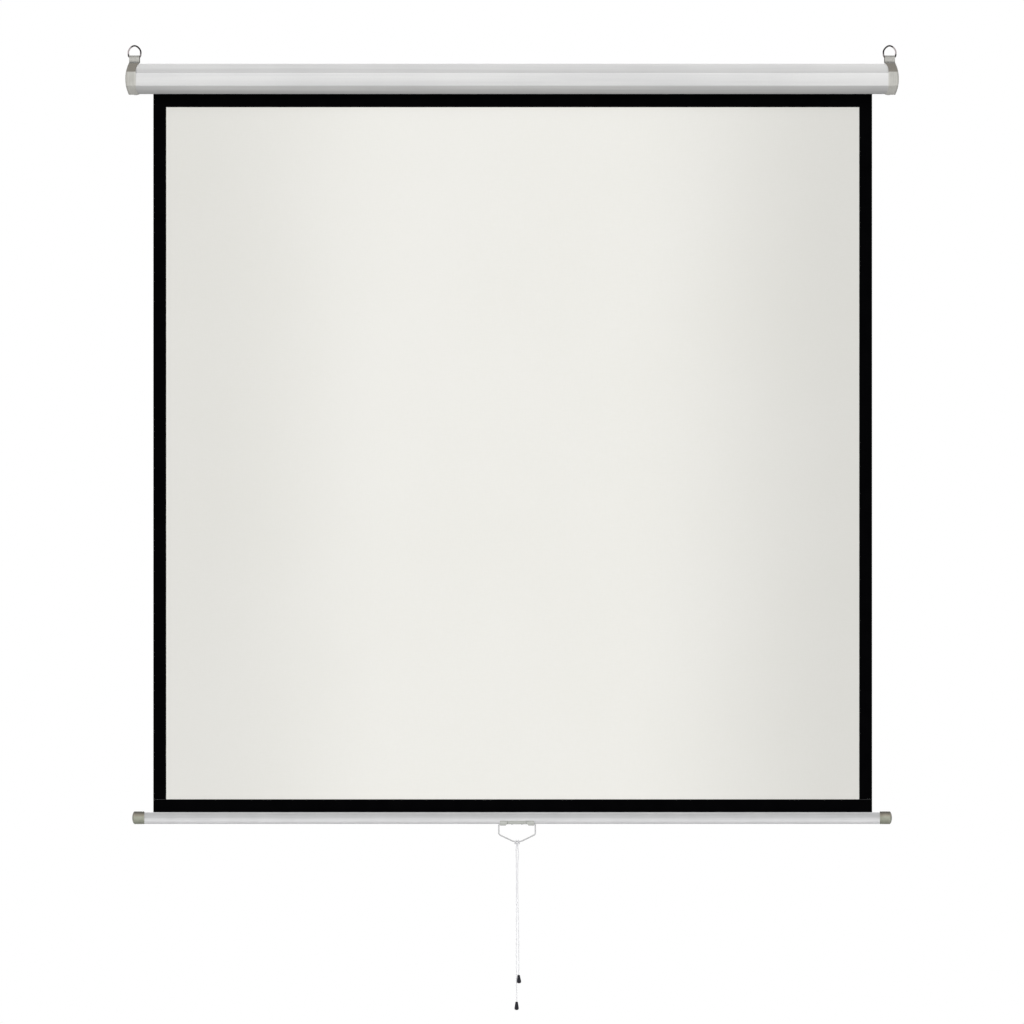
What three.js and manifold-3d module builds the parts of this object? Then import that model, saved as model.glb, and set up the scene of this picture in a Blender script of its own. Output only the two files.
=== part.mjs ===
// A pull down projector screen, hung by two rings and drawn fully down.
// Millimetres, +Z up. The picture faces -Y, and +X is to the viewer's right.
// The origin is midway between the two hanging rings, at the top of the space inside them.
import * as THREE from "three";
import { mergeVertices } from "three/addons/utils/BufferGeometryUtils.js";
import Module from "manifold-3d";

const wasm = await Module();
wasm.setup();

// Fits
const clearance = 0.3; // round and moving fits
const seat = 0.05; // between faces that rest on each other
const overrun = 4; // how far a cut runs past what it opens
const mergeDistance = 1e-4;

// Facets
const roundSides = 32;
const smallSides = 16;
const wireSides = 8;

// Cloth and picture
const pictureWidth = 1524;
const pictureHeight = 1524;
const sideBorder = 27.3;
const topBorder = 28.2; // what shows between the case and the picture
const bottomBorder = 27.1;
const clothThickness = 0.38;
const inkThickness = 0.12;
const turnsLeft = 2; // turns of cloth on the roller when it is drawn down
const hemRodRadius = 1.8;

// Case
const caseHeight = 66.4;
const caseDepth = 66.4;
const uprightFace = 29.5; // height of the front and back faces
const levelFace = 29.5; // depth of the top and bottom faces
const caseSteel = 0.7;
const slotAhead = 13; // from the cloth to the slot's front edge
const slotBehind = 4.3; // from the cloth to the slot's back edge
const lipHeight = 4;

// End caps
const capWall = 1.2;
const capDome = 7.5; // how far the end bulges
const capEndWall = 2.5;
const capCover = 10; // how far the rim reaches over the case's faces
const capRimSlant = 8.5; // how much further it reaches at the top and bottom
const capPocketRadius = 14;
const capPocketDepth = 6;
const domeSteps = 12;
const rimRunShare = 0.3; // the rim's cut runs on by this share of its slanted part

// Hanging rings and their straps
const ringWire = 2.8;
const ringWidth = 30.4;
const ringHeight = 25.8; // between the wire's centre lines
const ringSteps = 48;
const ringInset = 20; // from the cap's end to the ring's middle
// Half of the ring, from its bar to its top: across in half widths, up in heights
const ringBarShare = 0.82;
const ringCornerShares = [[0.82, 0], [0.95, 0], [1, 0.14], [1, 0.36]];
const ringBowShares = [[1, 0.36], [1, 0.63], [0.42, 0.97], [0, 1]];
const strapSteel = 1.2;
const strapWidth = 23;
const strapStand = 13.6; // from the cap's top to the ring's bar
const strapFoot = 13; // from the middle of the strap to the end of a foot
const strapFoldSteps = 8;

// Fasteners
const rivetRadius = 1.5;
const rivetHeadRadius = 2.4;
const rivetHeadHeight = 1.2;
const rivetTailRadius = 2.2;
const rivetTailHeight = 0.8;
const capScrewRadius = 1.6;
const capScrewLength = 6;
const capScrewHeadRadius = 4;
const capScrewHeadHeight = 1.1;
const screwCrownShare = 0.75; // the flat of a screw's head, as a share of its radius
const sunkHeadRadius = 3.2;
const lowerScrewInset = 23; // from the cap's end
const rearScrewInset = 17;

// Roller
const rollerForward = 9; // the roller lies this far ahead of the case's middle
const tubeRadius = 16;
const tubeWall = 1;
const tubeMargin = 25.7; // from the cloth's edge to the tube's end
const endSpace = 23.5; // from the tube's end to the bearing plate
const plateThickness = 1.5;
const flangeThickness = 3;
const plugLength = 25;
const gudgeonRadius = 4;
const gudgeonGrip = 15; // the pin's length inside the idle plug
const gudgeonReach = 4.5; // past the bearing plate's inner face
const bushWall = 2.2;
const bushFlangeRadius = 9;
const bushFlangeThickness = 1.5;
const bushReach = 5;

// Spindle and lock
const spindleHubRadius = 5;
const spindleRodRadius = 4;
const spindleHubInside = 29; // the hub's length inside the tube
const tongueWidth = 9;
const tongueThickness = 3;
const tongueReach = 5.5; // past the bearing plate's inner face
const ratchetRadius = 8.2;
const ratchetRoot = 6.7;
const ratchetTeeth = 4;
const ratchetThickness = 3;
const toothRadiusShares = [0, 0.45, 0.8, 1];
const pawlThickness = 2.4;
const pawlCircle = 12.5; // from the roller's axis to a pawl's pin
const pawlEyeRadius = 2.7;
const pawlTipRadius = 0.8;
const pawlTipGap = 0.6; // between the tip and the ratchet's teeth
const pawlTipTurn = 45; // degrees from the pin round to the tip
const pawlPinRadius = 1.2;
const pawlPinGrip = 5.7;
const pawlPinHeadRadius = 2.4;
const pawlPinHeadThickness = 1;
const pawlSteps = 8;

// Spring
const springInner = 8;
const springWire = 2.5;
const springLength = 350;
const springCollar = 10.7; // the thickness of the anchor's and the plug's collars
const springNose = 15; // how far their noses go into the spring

// Weight bar
const barRadius = 12.6;
const barWall = 1.2;
const barNeckHalf = 6;
const barNeckTop = 12.9;
const barSlot = 2.4;
const barMargin = 19.3; // from the cloth's edge to the bar's end
const barSteps = 28;
const barCapRadius = 14;
const barCapLength = 26.8;
const barCapDome = 5.2;
const barCapFit = 1.3; // between the hem and the cap's plug
const barCapDomeShares = [[1, 0], [0.93, 0.3], [0.62, 0.72], [0.3, 0.94], [0, 1]];
const hemGap = 0.25; // between the hem's loop and the rod

// Handle
const handleOffset = 10.9; // the handle hangs to the right of the middle
const saddleThickness = 1.2;
const saddleHalf = 37.5;
const saddleSweep = 65; // degrees to either side of straight down
const saddleSteps = 14;
const barrelLength = 16.5;
const barrelWall = 1.1;
const barrelSink = 0.5; // how far a barrel goes into the saddle
const barrelTurn = 34; // degrees ahead of straight down
const bailWire = 3;
const bailHalf = 40.1;
const bailSide = 22.2;
const bailDrop = 37.6;
const bailFootHalf = 8.1;
const bailBend = 2.3; // from a corner to the start of its bend, beside a barrel
const bailElbow = 4; // the same at the lower corners
const bailGrip = 13.5; // how much of each end lies in its barrel
const bailSteps = 72;
const saddleScrewRadius = 1.4;
const saddleScrewHeadRadius = 2.6;
const saddleScrewHeadHeight = 0.9;
const saddleScrewSpread = 11; // from the handle's middle
const saddleScrewLength = 5;

// Pull cord
const cordDiameter = 2.2;
const cordSteps = 40;
const hitchHalf = 3; // from the middle to each turn round the wire
const knotDrop = 8;
const knotRadius = 2.4;
const bellLength = 18.8;
const bellRadius = 4.8;
const bellShares = [
  [0, 0], [0.4, 0], [0.53, 0.06], [0.69, 0.38], [0.9, 0.64], [1, 0.77],
  [0.96, 0.86], [0.7, 0.95], [0.33, 0.99], [0, 1],
];
// Routes of the two tails, from the middle of the bail's foot
const cordRouteLeft = [
  [-1.3, 0, -10.4], [-1.9, 0, -16], [-2.2, 0, -24], [-2, 0, -34], [-1.6, 0, -48],
  [-1.4, 0, -70], [-1.4, 0, -98], [-1.4, 0.1, -128], [-1.5, 0.2, -160], [-1.6, 0.3, -195],
  [-1.6, 0.4, -230], [-1.6, 0.5, -262], [-1.5, 0.6, -292], [-1.3, 0.5, -322],
  [-0.9, 0.3, -351.7],
];
const cordRouteRight = [
  [1.3, 0, -10.4], [2.3, -0.1, -16], [2.9, -0.2, -24], [2.6, -0.2, -34], [1.7, -0.2, -48],
  [1.3, -0.2, -66], [1.3, -0.3, -86], [1.4, -0.6, -108], [1.9, -1.1, -132],
  [2.5, -1.7, -158], [3, -2.4, -186], [3.3, -3, -214], [3.5, -3.5, -242],
  [3.6, -3.8, -268], [3.4, -4, -292.8],
];

// Places across, from the middle outwards
const clothHalf = pictureWidth / 2 + sideBorder;
const tubeHalf = clothHalf + tubeMargin;
const plateInside = tubeHalf + endSpace;
const plateOutside = plateInside + plateThickness;
const capFloor = plateOutside + seat;
const capEnd = capFloor + capEndWall + capDome;
const capRim = plateInside - capCover;
const ringX = capEnd - ringInset;
const barHalf = clothHalf + barMargin;

// Places up and down
const ringBarZ = -ringHeight + ringWire / 2;
const capTop = ringBarZ - strapStand;
const capGrow = clearance + capWall;
const caseTop = capTop - capGrow;
const caseAxisZ = caseTop - caseHeight / 2;
const caseBottom = caseTop - caseHeight;
const pictureTop = caseBottom - topBorder;
const pictureBottom = pictureTop - pictureHeight;
const clothBottom = pictureBottom - bottomBorder;
const barAxisZ = clothBottom - barNeckTop;

// Places from front to back
const wrapInside = tubeRadius + clearance;
const wrapOutside = wrapInside + turnsLeft * clothThickness;
const inkFront = wrapOutside + clearance - rollerForward;
const clothFront = inkFront + inkThickness + seat;
const clothBack = clothFront + clothThickness;
const clothMiddle = (inkFront + clothBack) / 2;
const slotFront = clothMiddle - slotAhead;
const slotBack = clothMiddle + slotBehind;
const lowerScrewY = (slotFront - levelFace / 2) / 2;
const rivetY = (strapFoot + ringWire / 2 + clearance + strapSteel) / 2;
const capFront = caseDepth / 2 + capGrow;
const capHalfHeight = caseHeight / 2 + capGrow;

// Places around the handle, from the bar's axis
const saddleInside = barRadius + clearance;
const saddleOutside = saddleInside + saddleThickness;
const barrelRadius = bailWire / 2 + clearance + barrelWall;
const barrelCircle = saddleOutside + barrelRadius - barrelSink;
const pivotY = -barrelCircle * Math.sin(THREE.MathUtils.degToRad(barrelTurn));
const pivotZ = -barrelCircle * Math.cos(THREE.MathUtils.degToRad(barrelTurn));

// The solid of a closed geometry, with its faces pointing out.
function solidFrom(geometry) {
  const bare = geometry.index ? geometry.toNonIndexed() : geometry.clone();
  bare.deleteAttribute("normal");
  bare.deleteAttribute("uv");
  const merged = mergeVertices(bare, mergeDistance);
  const corners = merged.index.array;
  const kept = [];
  for (let i = 0; i < corners.length; i += 3) {
    const [a, b, c] = corners.slice(i, i + 3);
    if (a !== b && b !== c && c !== a) {
      kept.push(a, b, c);
    }
  }
  const build = (triangles) =>
    new wasm.Manifold(
      new wasm.Mesh({
        numProp: 3,
        vertProperties: merged.attributes.position.array,
        triVerts: new Uint32Array(triangles),
      }),
    );
  const solid = build(kept);
  return solid.volume() < 0 ? build(kept.reverse()) : solid;
}

function geometryFrom(solid) {
  const mesh = solid.getMesh();
  const geometry = new THREE.BufferGeometry();
  geometry.setAttribute("position", new THREE.BufferAttribute(mesh.vertProperties, 3));
  geometry.setIndex(new THREE.BufferAttribute(mesh.triVerts, 1));
  return geometry;
}

function cut(geometry, ...tools) {
  return geometryFrom(tools.reduce((solid, tool) => solid.subtract(solidFrom(tool)), solidFrom(geometry)));
}

function join(first, ...others) {
  return geometryFrom(others.reduce((solid, other) => solid.add(solidFrom(other)), solidFrom(first)));
}

function common(first, second) {
  return geometryFrom(solidFrom(first).intersect(solidFrom(second)));
}

function shapeFrom(outline, holes = []) {
  const shape = new THREE.Shape(outline.map(([a, b]) => new THREE.Vector2(a, b)));
  for (const hole of holes) {
    shape.holes.push(new THREE.Path(hole.map(([a, b]) => new THREE.Vector2(a, b))));
  }
  return shape;
}

// A section of (y, z) points drawn out along X.
function alongX(outline, from, to, holes) {
  const geometry = new THREE.ExtrudeGeometry(shapeFrom(outline, holes), {
    depth: to - from,
    bevelEnabled: false,
  });
  const turn = new THREE.Matrix4().makeBasis(
    new THREE.Vector3(0, 1, 0),
    new THREE.Vector3(0, 0, 1),
    new THREE.Vector3(1, 0, 0),
  );
  return geometry.applyMatrix4(turn).translate(from, 0, 0);
}

// An outline of (x, z) points drawn out along Y.
function alongY(outline, from, to) {
  const geometry = new THREE.ExtrudeGeometry(shapeFrom(outline), {
    depth: to - from,
    bevelEnabled: false,
  });
  const turn = new THREE.Matrix4().makeBasis(
    new THREE.Vector3(1, 0, 0),
    new THREE.Vector3(0, 0, 1),
    new THREE.Vector3(0, -1, 0),
  );
  return geometry.applyMatrix4(turn).translate(0, to, 0);
}

// Profiles of (radius, height) points turned about X, Y or Z.
function turnedY(profile, sides) {
  const points = profile.map(([radius, height]) => new THREE.Vector2(radius, height));
  return new THREE.LatheGeometry(points, sides);
}

function turnedX(profile, sides) {
  return turnedY(profile, sides).rotateZ(-Math.PI / 2);
}

function turnedZ(profile, sides) {
  return turnedY(profile, sides).rotateX(Math.PI / 2);
}

function roundProfile(radius, from, to) {
  return [[0, from], [radius, from], [radius, to], [0, to]];
}

function pipeProfile(inside, outside, from, to) {
  return [[inside, from], [outside, from], [outside, to], [inside, to], [inside, from]];
}

function box(fromX, toX, fromY, toY, fromZ, toZ) {
  return new THREE.BoxGeometry(toX - fromX, toY - fromY, toZ - fromZ).translate(
    (fromX + toX) / 2,
    (fromY + toY) / 2,
    (fromZ + toZ) / 2,
  );
}

function mirrored(geometry) {
  return geometryFrom(solidFrom(geometry.clone().scale(-1, 1, 1)));
}

// Points of an arc round a centre, with angles in radians from the first axis.
function arc(centre, radius, from, to, steps) {
  return Array.from({ length: steps + 1 }, (_, i) => {
    const angle = from + ((to - from) * i) / steps;
    return [centre[0] + radius * Math.cos(angle), centre[1] + radius * Math.sin(angle)];
  });
}

function circle(centre, radius, sides) {
  return arc(centre, radius, 0, 2 * Math.PI, sides).slice(0, sides);
}

// The line through the points, moved to its left by a distance and mitred.
function offset(points, distance, closed) {
  const count = points.length;
  const normals = points.map((point, i) => {
    const next = points[(i + 1) % count];
    const length = Math.hypot(next[0] - point[0], next[1] - point[1]);
    return [-(next[1] - point[1]) / length, (next[0] - point[0]) / length];
  });
  return points.map((point, i) => {
    const before = closed || i > 0 ? normals[(i + count - 1) % count] : normals[i];
    const after = closed || i < count - 1 ? normals[i] : before;
    const share = distance / (1 + before[0] * after[0] + before[1] * after[1]);
    return [point[0] + share * (before[0] + after[0]), point[1] + share * (before[1] + after[1])];
  });
}

// The outline of a folded sheet whose one side follows the points and whose wall is to their left.
function sheet(points, thickness) {
  return [...points, ...offset(points, thickness, false).reverse()];
}

// The outline of two circles joined by their tangents.
function teardrop(first, firstRadius, second, secondRadius, steps) {
  const apart = Math.hypot(second[0] - first[0], second[1] - first[1]);
  const heading = Math.atan2(second[1] - first[1], second[0] - first[0]);
  const lean = Math.acos((firstRadius - secondRadius) / apart);
  return [
    ...arc(first, firstRadius, heading + lean, heading + 2 * Math.PI - lean, steps),
    ...arc(second, secondRadius, heading - lean, heading + lean, steps),
  ];
}

// A round wire along an open path.
function wire(path, radius, steps, sides) {
  return new THREE.ExtrudeGeometry(shapeFrom(circle([0, 0], radius, sides)), {
    steps,
    extrudePath: path,
  });
}

// A path through points, with each corner rounded from its own distance away.
function roundedPath(points, bends) {
  const path = new THREE.CurvePath();
  let from = points[0];
  for (let i = 1; i < points.length - 1; i += 1) {
    const corner = points[i];
    const bend = bends[i - 1];
    const before = corner.clone().add(from.clone().sub(corner).setLength(bend));
    const after = corner.clone().add(points[i + 1].clone().sub(corner).setLength(bend));
    path.add(new THREE.LineCurve3(from, before));
    path.add(new THREE.QuadraticBezierCurve3(before, corner, after));
    from = after;
  }
  path.add(new THREE.LineCurve3(from, points[points.length - 1]));
  return path;
}

function finish(color, roughness, metalness) {
  return { color, roughness, metalness, flatShading: true };
}

const screen = new THREE.Group();

function group(parent, x, y, z) {
  const made = new THREE.Group();
  made.position.set(x, y, z);
  parent.add(made);
  return made;
}

// Adds one piece, with a mesh and a material of its own, to a group.
function piece(parent, name, geometry, look, place = [0, 0, 0]) {
  const mesh = new THREE.Mesh(geometryFrom(solidFrom(geometry)), new THREE.MeshStandardMaterial(look));
  mesh.name = name;
  mesh.position.set(...place);
  parent.add(mesh);
}

const sides = [["left", -1], ["right", 1]];

// Axes that the pieces are placed on
const head = group(screen, 0, 0, caseAxisZ);
const roller = group(head, 0, -rollerForward, 0);
const weight = group(screen, 0, clothMiddle, barAxisZ);
const handle = group(weight, handleOffset, pivotY, pivotZ);
const pull = group(handle, 0, 0, -bailDrop);

// The case's outline round its axis, anticlockwise from the bottom face's back edge
const caseOutline = [
  [levelFace / 2, -caseHeight / 2],
  [caseDepth / 2, -uprightFace / 2],
  [caseDepth / 2, uprightFace / 2],
  [levelFace / 2, caseHeight / 2],
  [-levelFace / 2, caseHeight / 2],
  [-caseDepth / 2, uprightFace / 2],
  [-caseDepth / 2, -uprightFace / 2],
  [-levelFace / 2, -caseHeight / 2],
];

// Holes that the strap rivets and cap screws pass through, in the case's frame
function rivetHoles(side) {
  const hole = roundProfile(rivetRadius + clearance, caseHeight / 2 - overrun, capHalfHeight + overrun);
  return [-1, 1].map((way) => turnedZ(hole, smallSides).translate(side * ringX, way * rivetY, 0));
}

function lowerScrewHole(side) {
  const hole = roundProfile(capScrewRadius + clearance, -capHalfHeight - overrun, overrun - caseHeight / 2);
  return turnedZ(hole, smallSides).translate(side * (capEnd - lowerScrewInset), lowerScrewY, 0);
}

function rearScrewHole(side) {
  const hole = roundProfile(capScrewRadius + clearance, caseDepth / 2 - overrun, capFront + overrun);
  return turnedY(hole, smallSides).translate(side * (capEnd - rearScrewInset), 0, 0);
}

function fastenerHoles(side) {
  return [...rivetHoles(side), lowerScrewHole(side), rearScrewHole(side)];
}

function caseShell() {
  const path = [
    [slotBack, lipHeight - caseHeight / 2],
    [slotBack, -caseHeight / 2],
    ...caseOutline,
    [slotFront, -caseHeight / 2],
    [slotFront, lipHeight - caseHeight / 2],
  ];
  const shell = alongX(sheet(path, caseSteel), seat - plateInside, plateInside - seat);
  return cut(shell, ...sides.flatMap(([, side]) => fastenerHoles(side)));
}

// The right-hand cap: a cup over the case's end, with a bulging end and a slanted rim.
function endCap() {
  const innerEnd = capRim - capRimSlant;
  const block = alongX(offset(caseOutline, -capGrow, true), innerEnd, capEnd);
  const domeRadius = (capHalfHeight ** 2 + capDome ** 2) / (2 * capDome);
  const spread = Math.asin(capHalfHeight / domeRadius);
  const dome = alongY(
    [
      [innerEnd - overrun, -capHalfHeight],
      ...arc([capEnd - domeRadius, 0], domeRadius, -spread, spread, domeSteps),
      [innerEnd - overrun, capHalfHeight],
    ],
    -capFront - overrun,
    capFront + overrun,
  );
  const slantHeight = capHalfHeight - uprightFace / 2;
  const rimTop = [
    innerEnd - rimRunShare * capRimSlant,
    capHalfHeight + rimRunShare * slantHeight,
  ];
  const rim = alongY(
    [
      [innerEnd - overrun, -rimTop[1]],
      [rimTop[0], -rimTop[1]],
      [capRim, -uprightFace / 2],
      [capRim, uprightFace / 2],
      rimTop,
      [innerEnd - overrun, rimTop[1]],
    ],
    -capFront - overrun,
    capFront + overrun,
  );
  const hollow = alongX(offset(caseOutline, -clearance, true), innerEnd - overrun, capFloor);
  const pocket = turnedX(
    roundProfile(capPocketRadius, capFloor - overrun, capFloor + capPocketDepth),
    roundSides,
  ).translate(0, -rollerForward, 0);
  const sunkHead = turnedY(
    [
      [0, capFront - capWall],
      [capScrewRadius + clearance, capFront - capWall],
      [sunkHeadRadius + clearance, capFront],
      [sunkHeadRadius + clearance, capFront + overrun],
      [0, capFront + overrun],
    ],
    smallSides,
  ).translate(capEnd - rearScrewInset, 0, 0);
  return cut(common(block, dome), rim, hollow, pocket, sunkHead, ...fastenerHoles(1));
}

// A strap folded over the ring's bar, with two feet on the cap's top face, drawn round the ring's bar.
function hangerStrap() {
  const inside = ringWire / 2 + clearance;
  const under = seat - strapStand;
  const path = [
    [-strapFoot, under],
    [-inside, under],
    ...arc([0, 0], inside, Math.PI, 0, strapFoldSteps),
    [inside, under],
    [strapFoot, under],
  ];
  const strap = alongX(sheet(path, strapSteel), -strapWidth / 2, strapWidth / 2);
  const hole = roundProfile(rivetRadius + clearance, under - overrun, under + overrun);
  const holes = [-1, 1].map((way) => turnedZ(hole, smallSides).translate(0, way * rivetY, 0));
  return cut(strap, ...holes);
}

// A wire ring with a straight bar, drawn round the middle of the bar.
function hangingRing() {
  const half = (ringWidth - ringWire) / 2;
  const at = ([x, z]) => new THREE.Vector3(x * half, 0, z * ringHeight);
  const mirror = (shares) => shares.map(([x, z]) => [-x, z]).reverse();
  const path = new THREE.CurvePath();
  path.add(new THREE.LineCurve3(at([-ringBarShare, 0]), at([ringBarShare, 0])));
  for (const shares of [ringCornerShares, ringBowShares, mirror(ringBowShares), mirror(ringCornerShares)]) {
    path.add(new THREE.CubicBezierCurve3(...shares.map(at)));
  }
  return new THREE.TubeGeometry(path, ringSteps, ringWire / 2, wireSides, true);
}

// A rivet through the strap's foot, the cap and the case, drawn from the foot's top face.
function strapRivet() {
  const tailTop = -(strapSteel + seat + capGrow + caseSteel + seat);
  const dome = arc([0, seat], 1, 0, Math.PI / 2, wireSides / 2).map(([x, z]) => [
    x * rivetHeadRadius,
    seat + (z - seat) * rivetHeadHeight,
  ]);
  const profile = [
    [0, tailTop - rivetTailHeight],
    [rivetTailRadius, tailTop - rivetTailHeight],
    [rivetTailRadius, tailTop],
    [rivetRadius, tailTop],
    [rivetRadius, seat],
    ...dome.slice(0, -1),
    [0, seat + rivetHeadHeight],
  ];
  return turnedZ(profile, smallSides);
}

// A flat-headed screw that points up, drawn from the underside of the cap.
function lowerCapScrew() {
  return turnedZ(
    [
      [0, -seat - capScrewHeadHeight],
      [capScrewHeadRadius * screwCrownShare, -seat - capScrewHeadHeight],
      [capScrewHeadRadius, -seat - capScrewHeadHeight / 2],
      [capScrewHeadRadius, -seat],
      [capScrewRadius, -seat],
      [capScrewRadius, capScrewLength],
      [0, capScrewLength],
    ],
    smallSides,
  );
}

// A countersunk screw that points forward, drawn from the cap's back face.
function rearCapScrew() {
  return turnedY(
    [
      [0, -capScrewLength],
      [capScrewRadius, -capScrewLength],
      [capScrewRadius, -capWall],
      [sunkHeadRadius, -seat],
      [0, -seat],
    ],
    smallSides,
  );
}

const caseSteelFinish = finish(0xd9d9d8, 0.42, 0.1);
const capFinish = finish(0xb4b2aa, 0.35, 0.55);
const strapFinish = finish(0xbdbbb4, 0.38, 0.6);
const chrome = finish(0x77726f, 0.18, 1);
const zinc = finish(0xaeb0b2, 0.4, 0.8);

piece(head, "case_shell", caseShell(), caseSteelFinish);
for (const [name, side] of sides) {
  const cap = endCap();
  piece(head, `end_cap_${name}`, side > 0 ? cap : mirrored(cap), capFinish);
  piece(head, `cap_screw_${name}_lower`, lowerCapScrew(), zinc, [
    side * (capEnd - lowerScrewInset), lowerScrewY, -capHalfHeight,
  ]);
  piece(head, `cap_screw_${name}_rear`, rearCapScrew(), zinc, [
    side * (capEnd - rearScrewInset), capFront, 0,
  ]);
  const hanger = group(screen, side * ringX, 0, ringBarZ);
  piece(hanger, `hanger_tab_${name}`, hangerStrap(), strapFinish);
  piece(hanger, `hanging_ring_${name}`, hangingRing(), chrome);
  for (const [place, way] of [["front", -1], ["rear", 1]]) {
    piece(hanger, `tab_rivet_${name}_${place}`, strapRivet(), zinc, [
      0, way * rivetY, seat - strapStand + strapSteel,
    ]);
  }
}

// Roller ends, drawn about the roller's axis
const plugRadius = tubeRadius - tubeWall - clearance;
const flangeOutside = tubeHalf + seat + flangeThickness;
const lockFrom = flangeOutside + clearance;
const lockTo = lockFrom + ratchetThickness;

function bearingPlate(hole) {
  const inRollerFrame = caseOutline.map(([y, z]) => [y + rollerForward, z]);
  return alongX(inRollerFrame, plateInside, plateOutside, [hole]);
}

function idleBush() {
  const inside = gudgeonRadius + clearance;
  return turnedX(
    [
      [inside, plateInside - seat - bushFlangeThickness],
      [bushFlangeRadius, plateInside - seat - bushFlangeThickness],
      [bushFlangeRadius, plateInside - seat],
      [inside + bushWall, plateInside - seat],
      [inside + bushWall, plateInside + bushReach],
      [inside, plateInside + bushReach],
      [inside, plateInside - seat - bushFlangeThickness],
    ],
    roundSides,
  );
}

function tubePlug(bore) {
  return turnedX(
    [
      [bore, tubeHalf - plugLength],
      [plugRadius, tubeHalf - plugLength],
      [plugRadius, tubeHalf + seat],
      [tubeRadius, tubeHalf + seat],
      [tubeRadius, flangeOutside],
      [bore, flangeOutside],
      [bore, tubeHalf - plugLength],
    ],
    roundSides,
  );
}

function gudgeonPin() {
  const profile = roundProfile(gudgeonRadius, tubeHalf - gudgeonGrip, plateInside + gudgeonReach);
  return turnedX(profile, smallSides);
}

// The two pawls' pins lie above and below the axis.
const pawls = [["a", 1], ["b", -1]];

function driveFerrule() {
  const floor = flangeOutside - pawlPinGrip - clearance;
  const hole = roundProfile(pawlPinRadius + clearance, floor, flangeOutside + overrun);
  const holes = pawls.map(([, way]) => turnedX(hole, smallSides).translate(0, 0, way * pawlCircle));
  return cut(tubePlug(spindleHubRadius + clearance), ...holes);
}

function pawlPin() {
  const headFrom = lockFrom + pawlThickness + clearance;
  return turnedX(
    [
      [0, flangeOutside - pawlPinGrip],
      [pawlPinRadius, flangeOutside - pawlPinGrip],
      [pawlPinRadius, headFrom],
      [pawlPinHeadRadius, headFrom],
      [pawlPinHeadRadius, headFrom + pawlPinHeadThickness],
      [0, headFrom + pawlPinHeadThickness],
    ],
    smallSides,
  );
}

function pawl() {
  const tipCircle = ratchetRadius + pawlTipGap + pawlTipRadius;
  const tipAngle = THREE.MathUtils.degToRad(pawlTipTurn);
  const tip = [-tipCircle * Math.sin(tipAngle), tipCircle * Math.cos(tipAngle)];
  return alongX(
    teardrop([0, pawlCircle], pawlEyeRadius, tip, pawlTipRadius, pawlSteps),
    lockFrom,
    lockFrom + pawlThickness,
    [circle([0, pawlCircle], pawlPinRadius + clearance, smallSides)],
  );
}

function ratchetWheel() {
  const outline = [];
  for (let tooth = 0; tooth < ratchetTeeth; tooth += 1) {
    toothRadiusShares.forEach((share, i) => {
      const turn = (tooth + i / (toothRadiusShares.length - 1)) / ratchetTeeth;
      const radius = ratchetRoot + share * (ratchetRadius - ratchetRoot);
      outline.push([radius * Math.cos(2 * Math.PI * turn), radius * Math.sin(2 * Math.PI * turn)]);
    });
  }
  return alongX(outline, lockFrom, lockTo, [circle([0, 0], spindleHubRadius + clearance, smallSides)]);
}

// Spring and its ends, from the anchor in the spindle's hub towards the middle
const hubFrom = tubeHalf - spindleHubInside;
const anchorFace = hubFrom - seat - springCollar;
const springTo = anchorFace - clearance;
const springFrom = springTo - springLength;
const drivePlugFace = springFrom - clearance;
const springOutside = springInner + springWire;
const rodBore = spindleRodRadius + clearance;

function spindle() {
  const rodFrom = drivePlugFace - springCollar + seat;
  const shaft = turnedX(
    [
      [0, rodFrom],
      [spindleRodRadius, rodFrom],
      [spindleRodRadius, hubFrom],
      [spindleHubRadius, hubFrom],
      [spindleHubRadius, plateInside - clearance],
      [0, plateInside - clearance],
    ],
    roundSides,
  );
  const tongue = box(
    plateInside - overrun,
    plateInside + tongueReach,
    -tongueThickness / 2,
    tongueThickness / 2,
    -tongueWidth / 2,
    tongueWidth / 2,
  );
  return join(shaft, tongue);
}

// A collar with a nose that goes into the spring, towards -X.
function springAnchor() {
  return turnedX(
    [
      [rodBore, anchorFace - springNose],
      [springInner - clearance, anchorFace - springNose],
      [springInner - clearance, anchorFace],
      [springOutside, anchorFace],
      [springOutside, anchorFace + springCollar],
      [rodBore, anchorFace + springCollar],
      [rodBore, anchorFace - springNose],
    ],
    roundSides,
  );
}

// The collar that turns with the tube, with a nose towards +X.
function springDrivePlug() {
  return turnedX(
    [
      [rodBore, drivePlugFace - springCollar],
      [plugRadius, drivePlugFace - springCollar],
      [plugRadius, drivePlugFace],
      [springInner - clearance, drivePlugFace],
      [springInner - clearance, drivePlugFace + springNose],
      [rodBore, drivePlugFace + springNose],
      [rodBore, drivePlugFace - springCollar],
    ],
    roundSides,
  );
}

const rollerSteel = finish(0xc3c6c8, 0.35, 0.85);
const springSteel = finish(0x6d6f72, 0.35, 0.9);
const nylon = finish(0xe8e6df, 0.55, 0);
const blackPlastic = finish(0x26262b, 0.5, 0);
const clothFinish = finish(0xebeae6, 0.9, 0);
const blackBorder = finish(0x070707, 0.85, 0);

const bushHole = circle([0, 0], gudgeonRadius + 2 * clearance + bushWall, roundSides);
const halfSlot = [tongueThickness / 2 + clearance, tongueWidth / 2 + clearance];
const tongueSlot = [[-1, -1], [1, -1], [1, 1], [-1, 1]].map(([y, z]) => [y * halfSlot[0], z * halfSlot[1]]);

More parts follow.
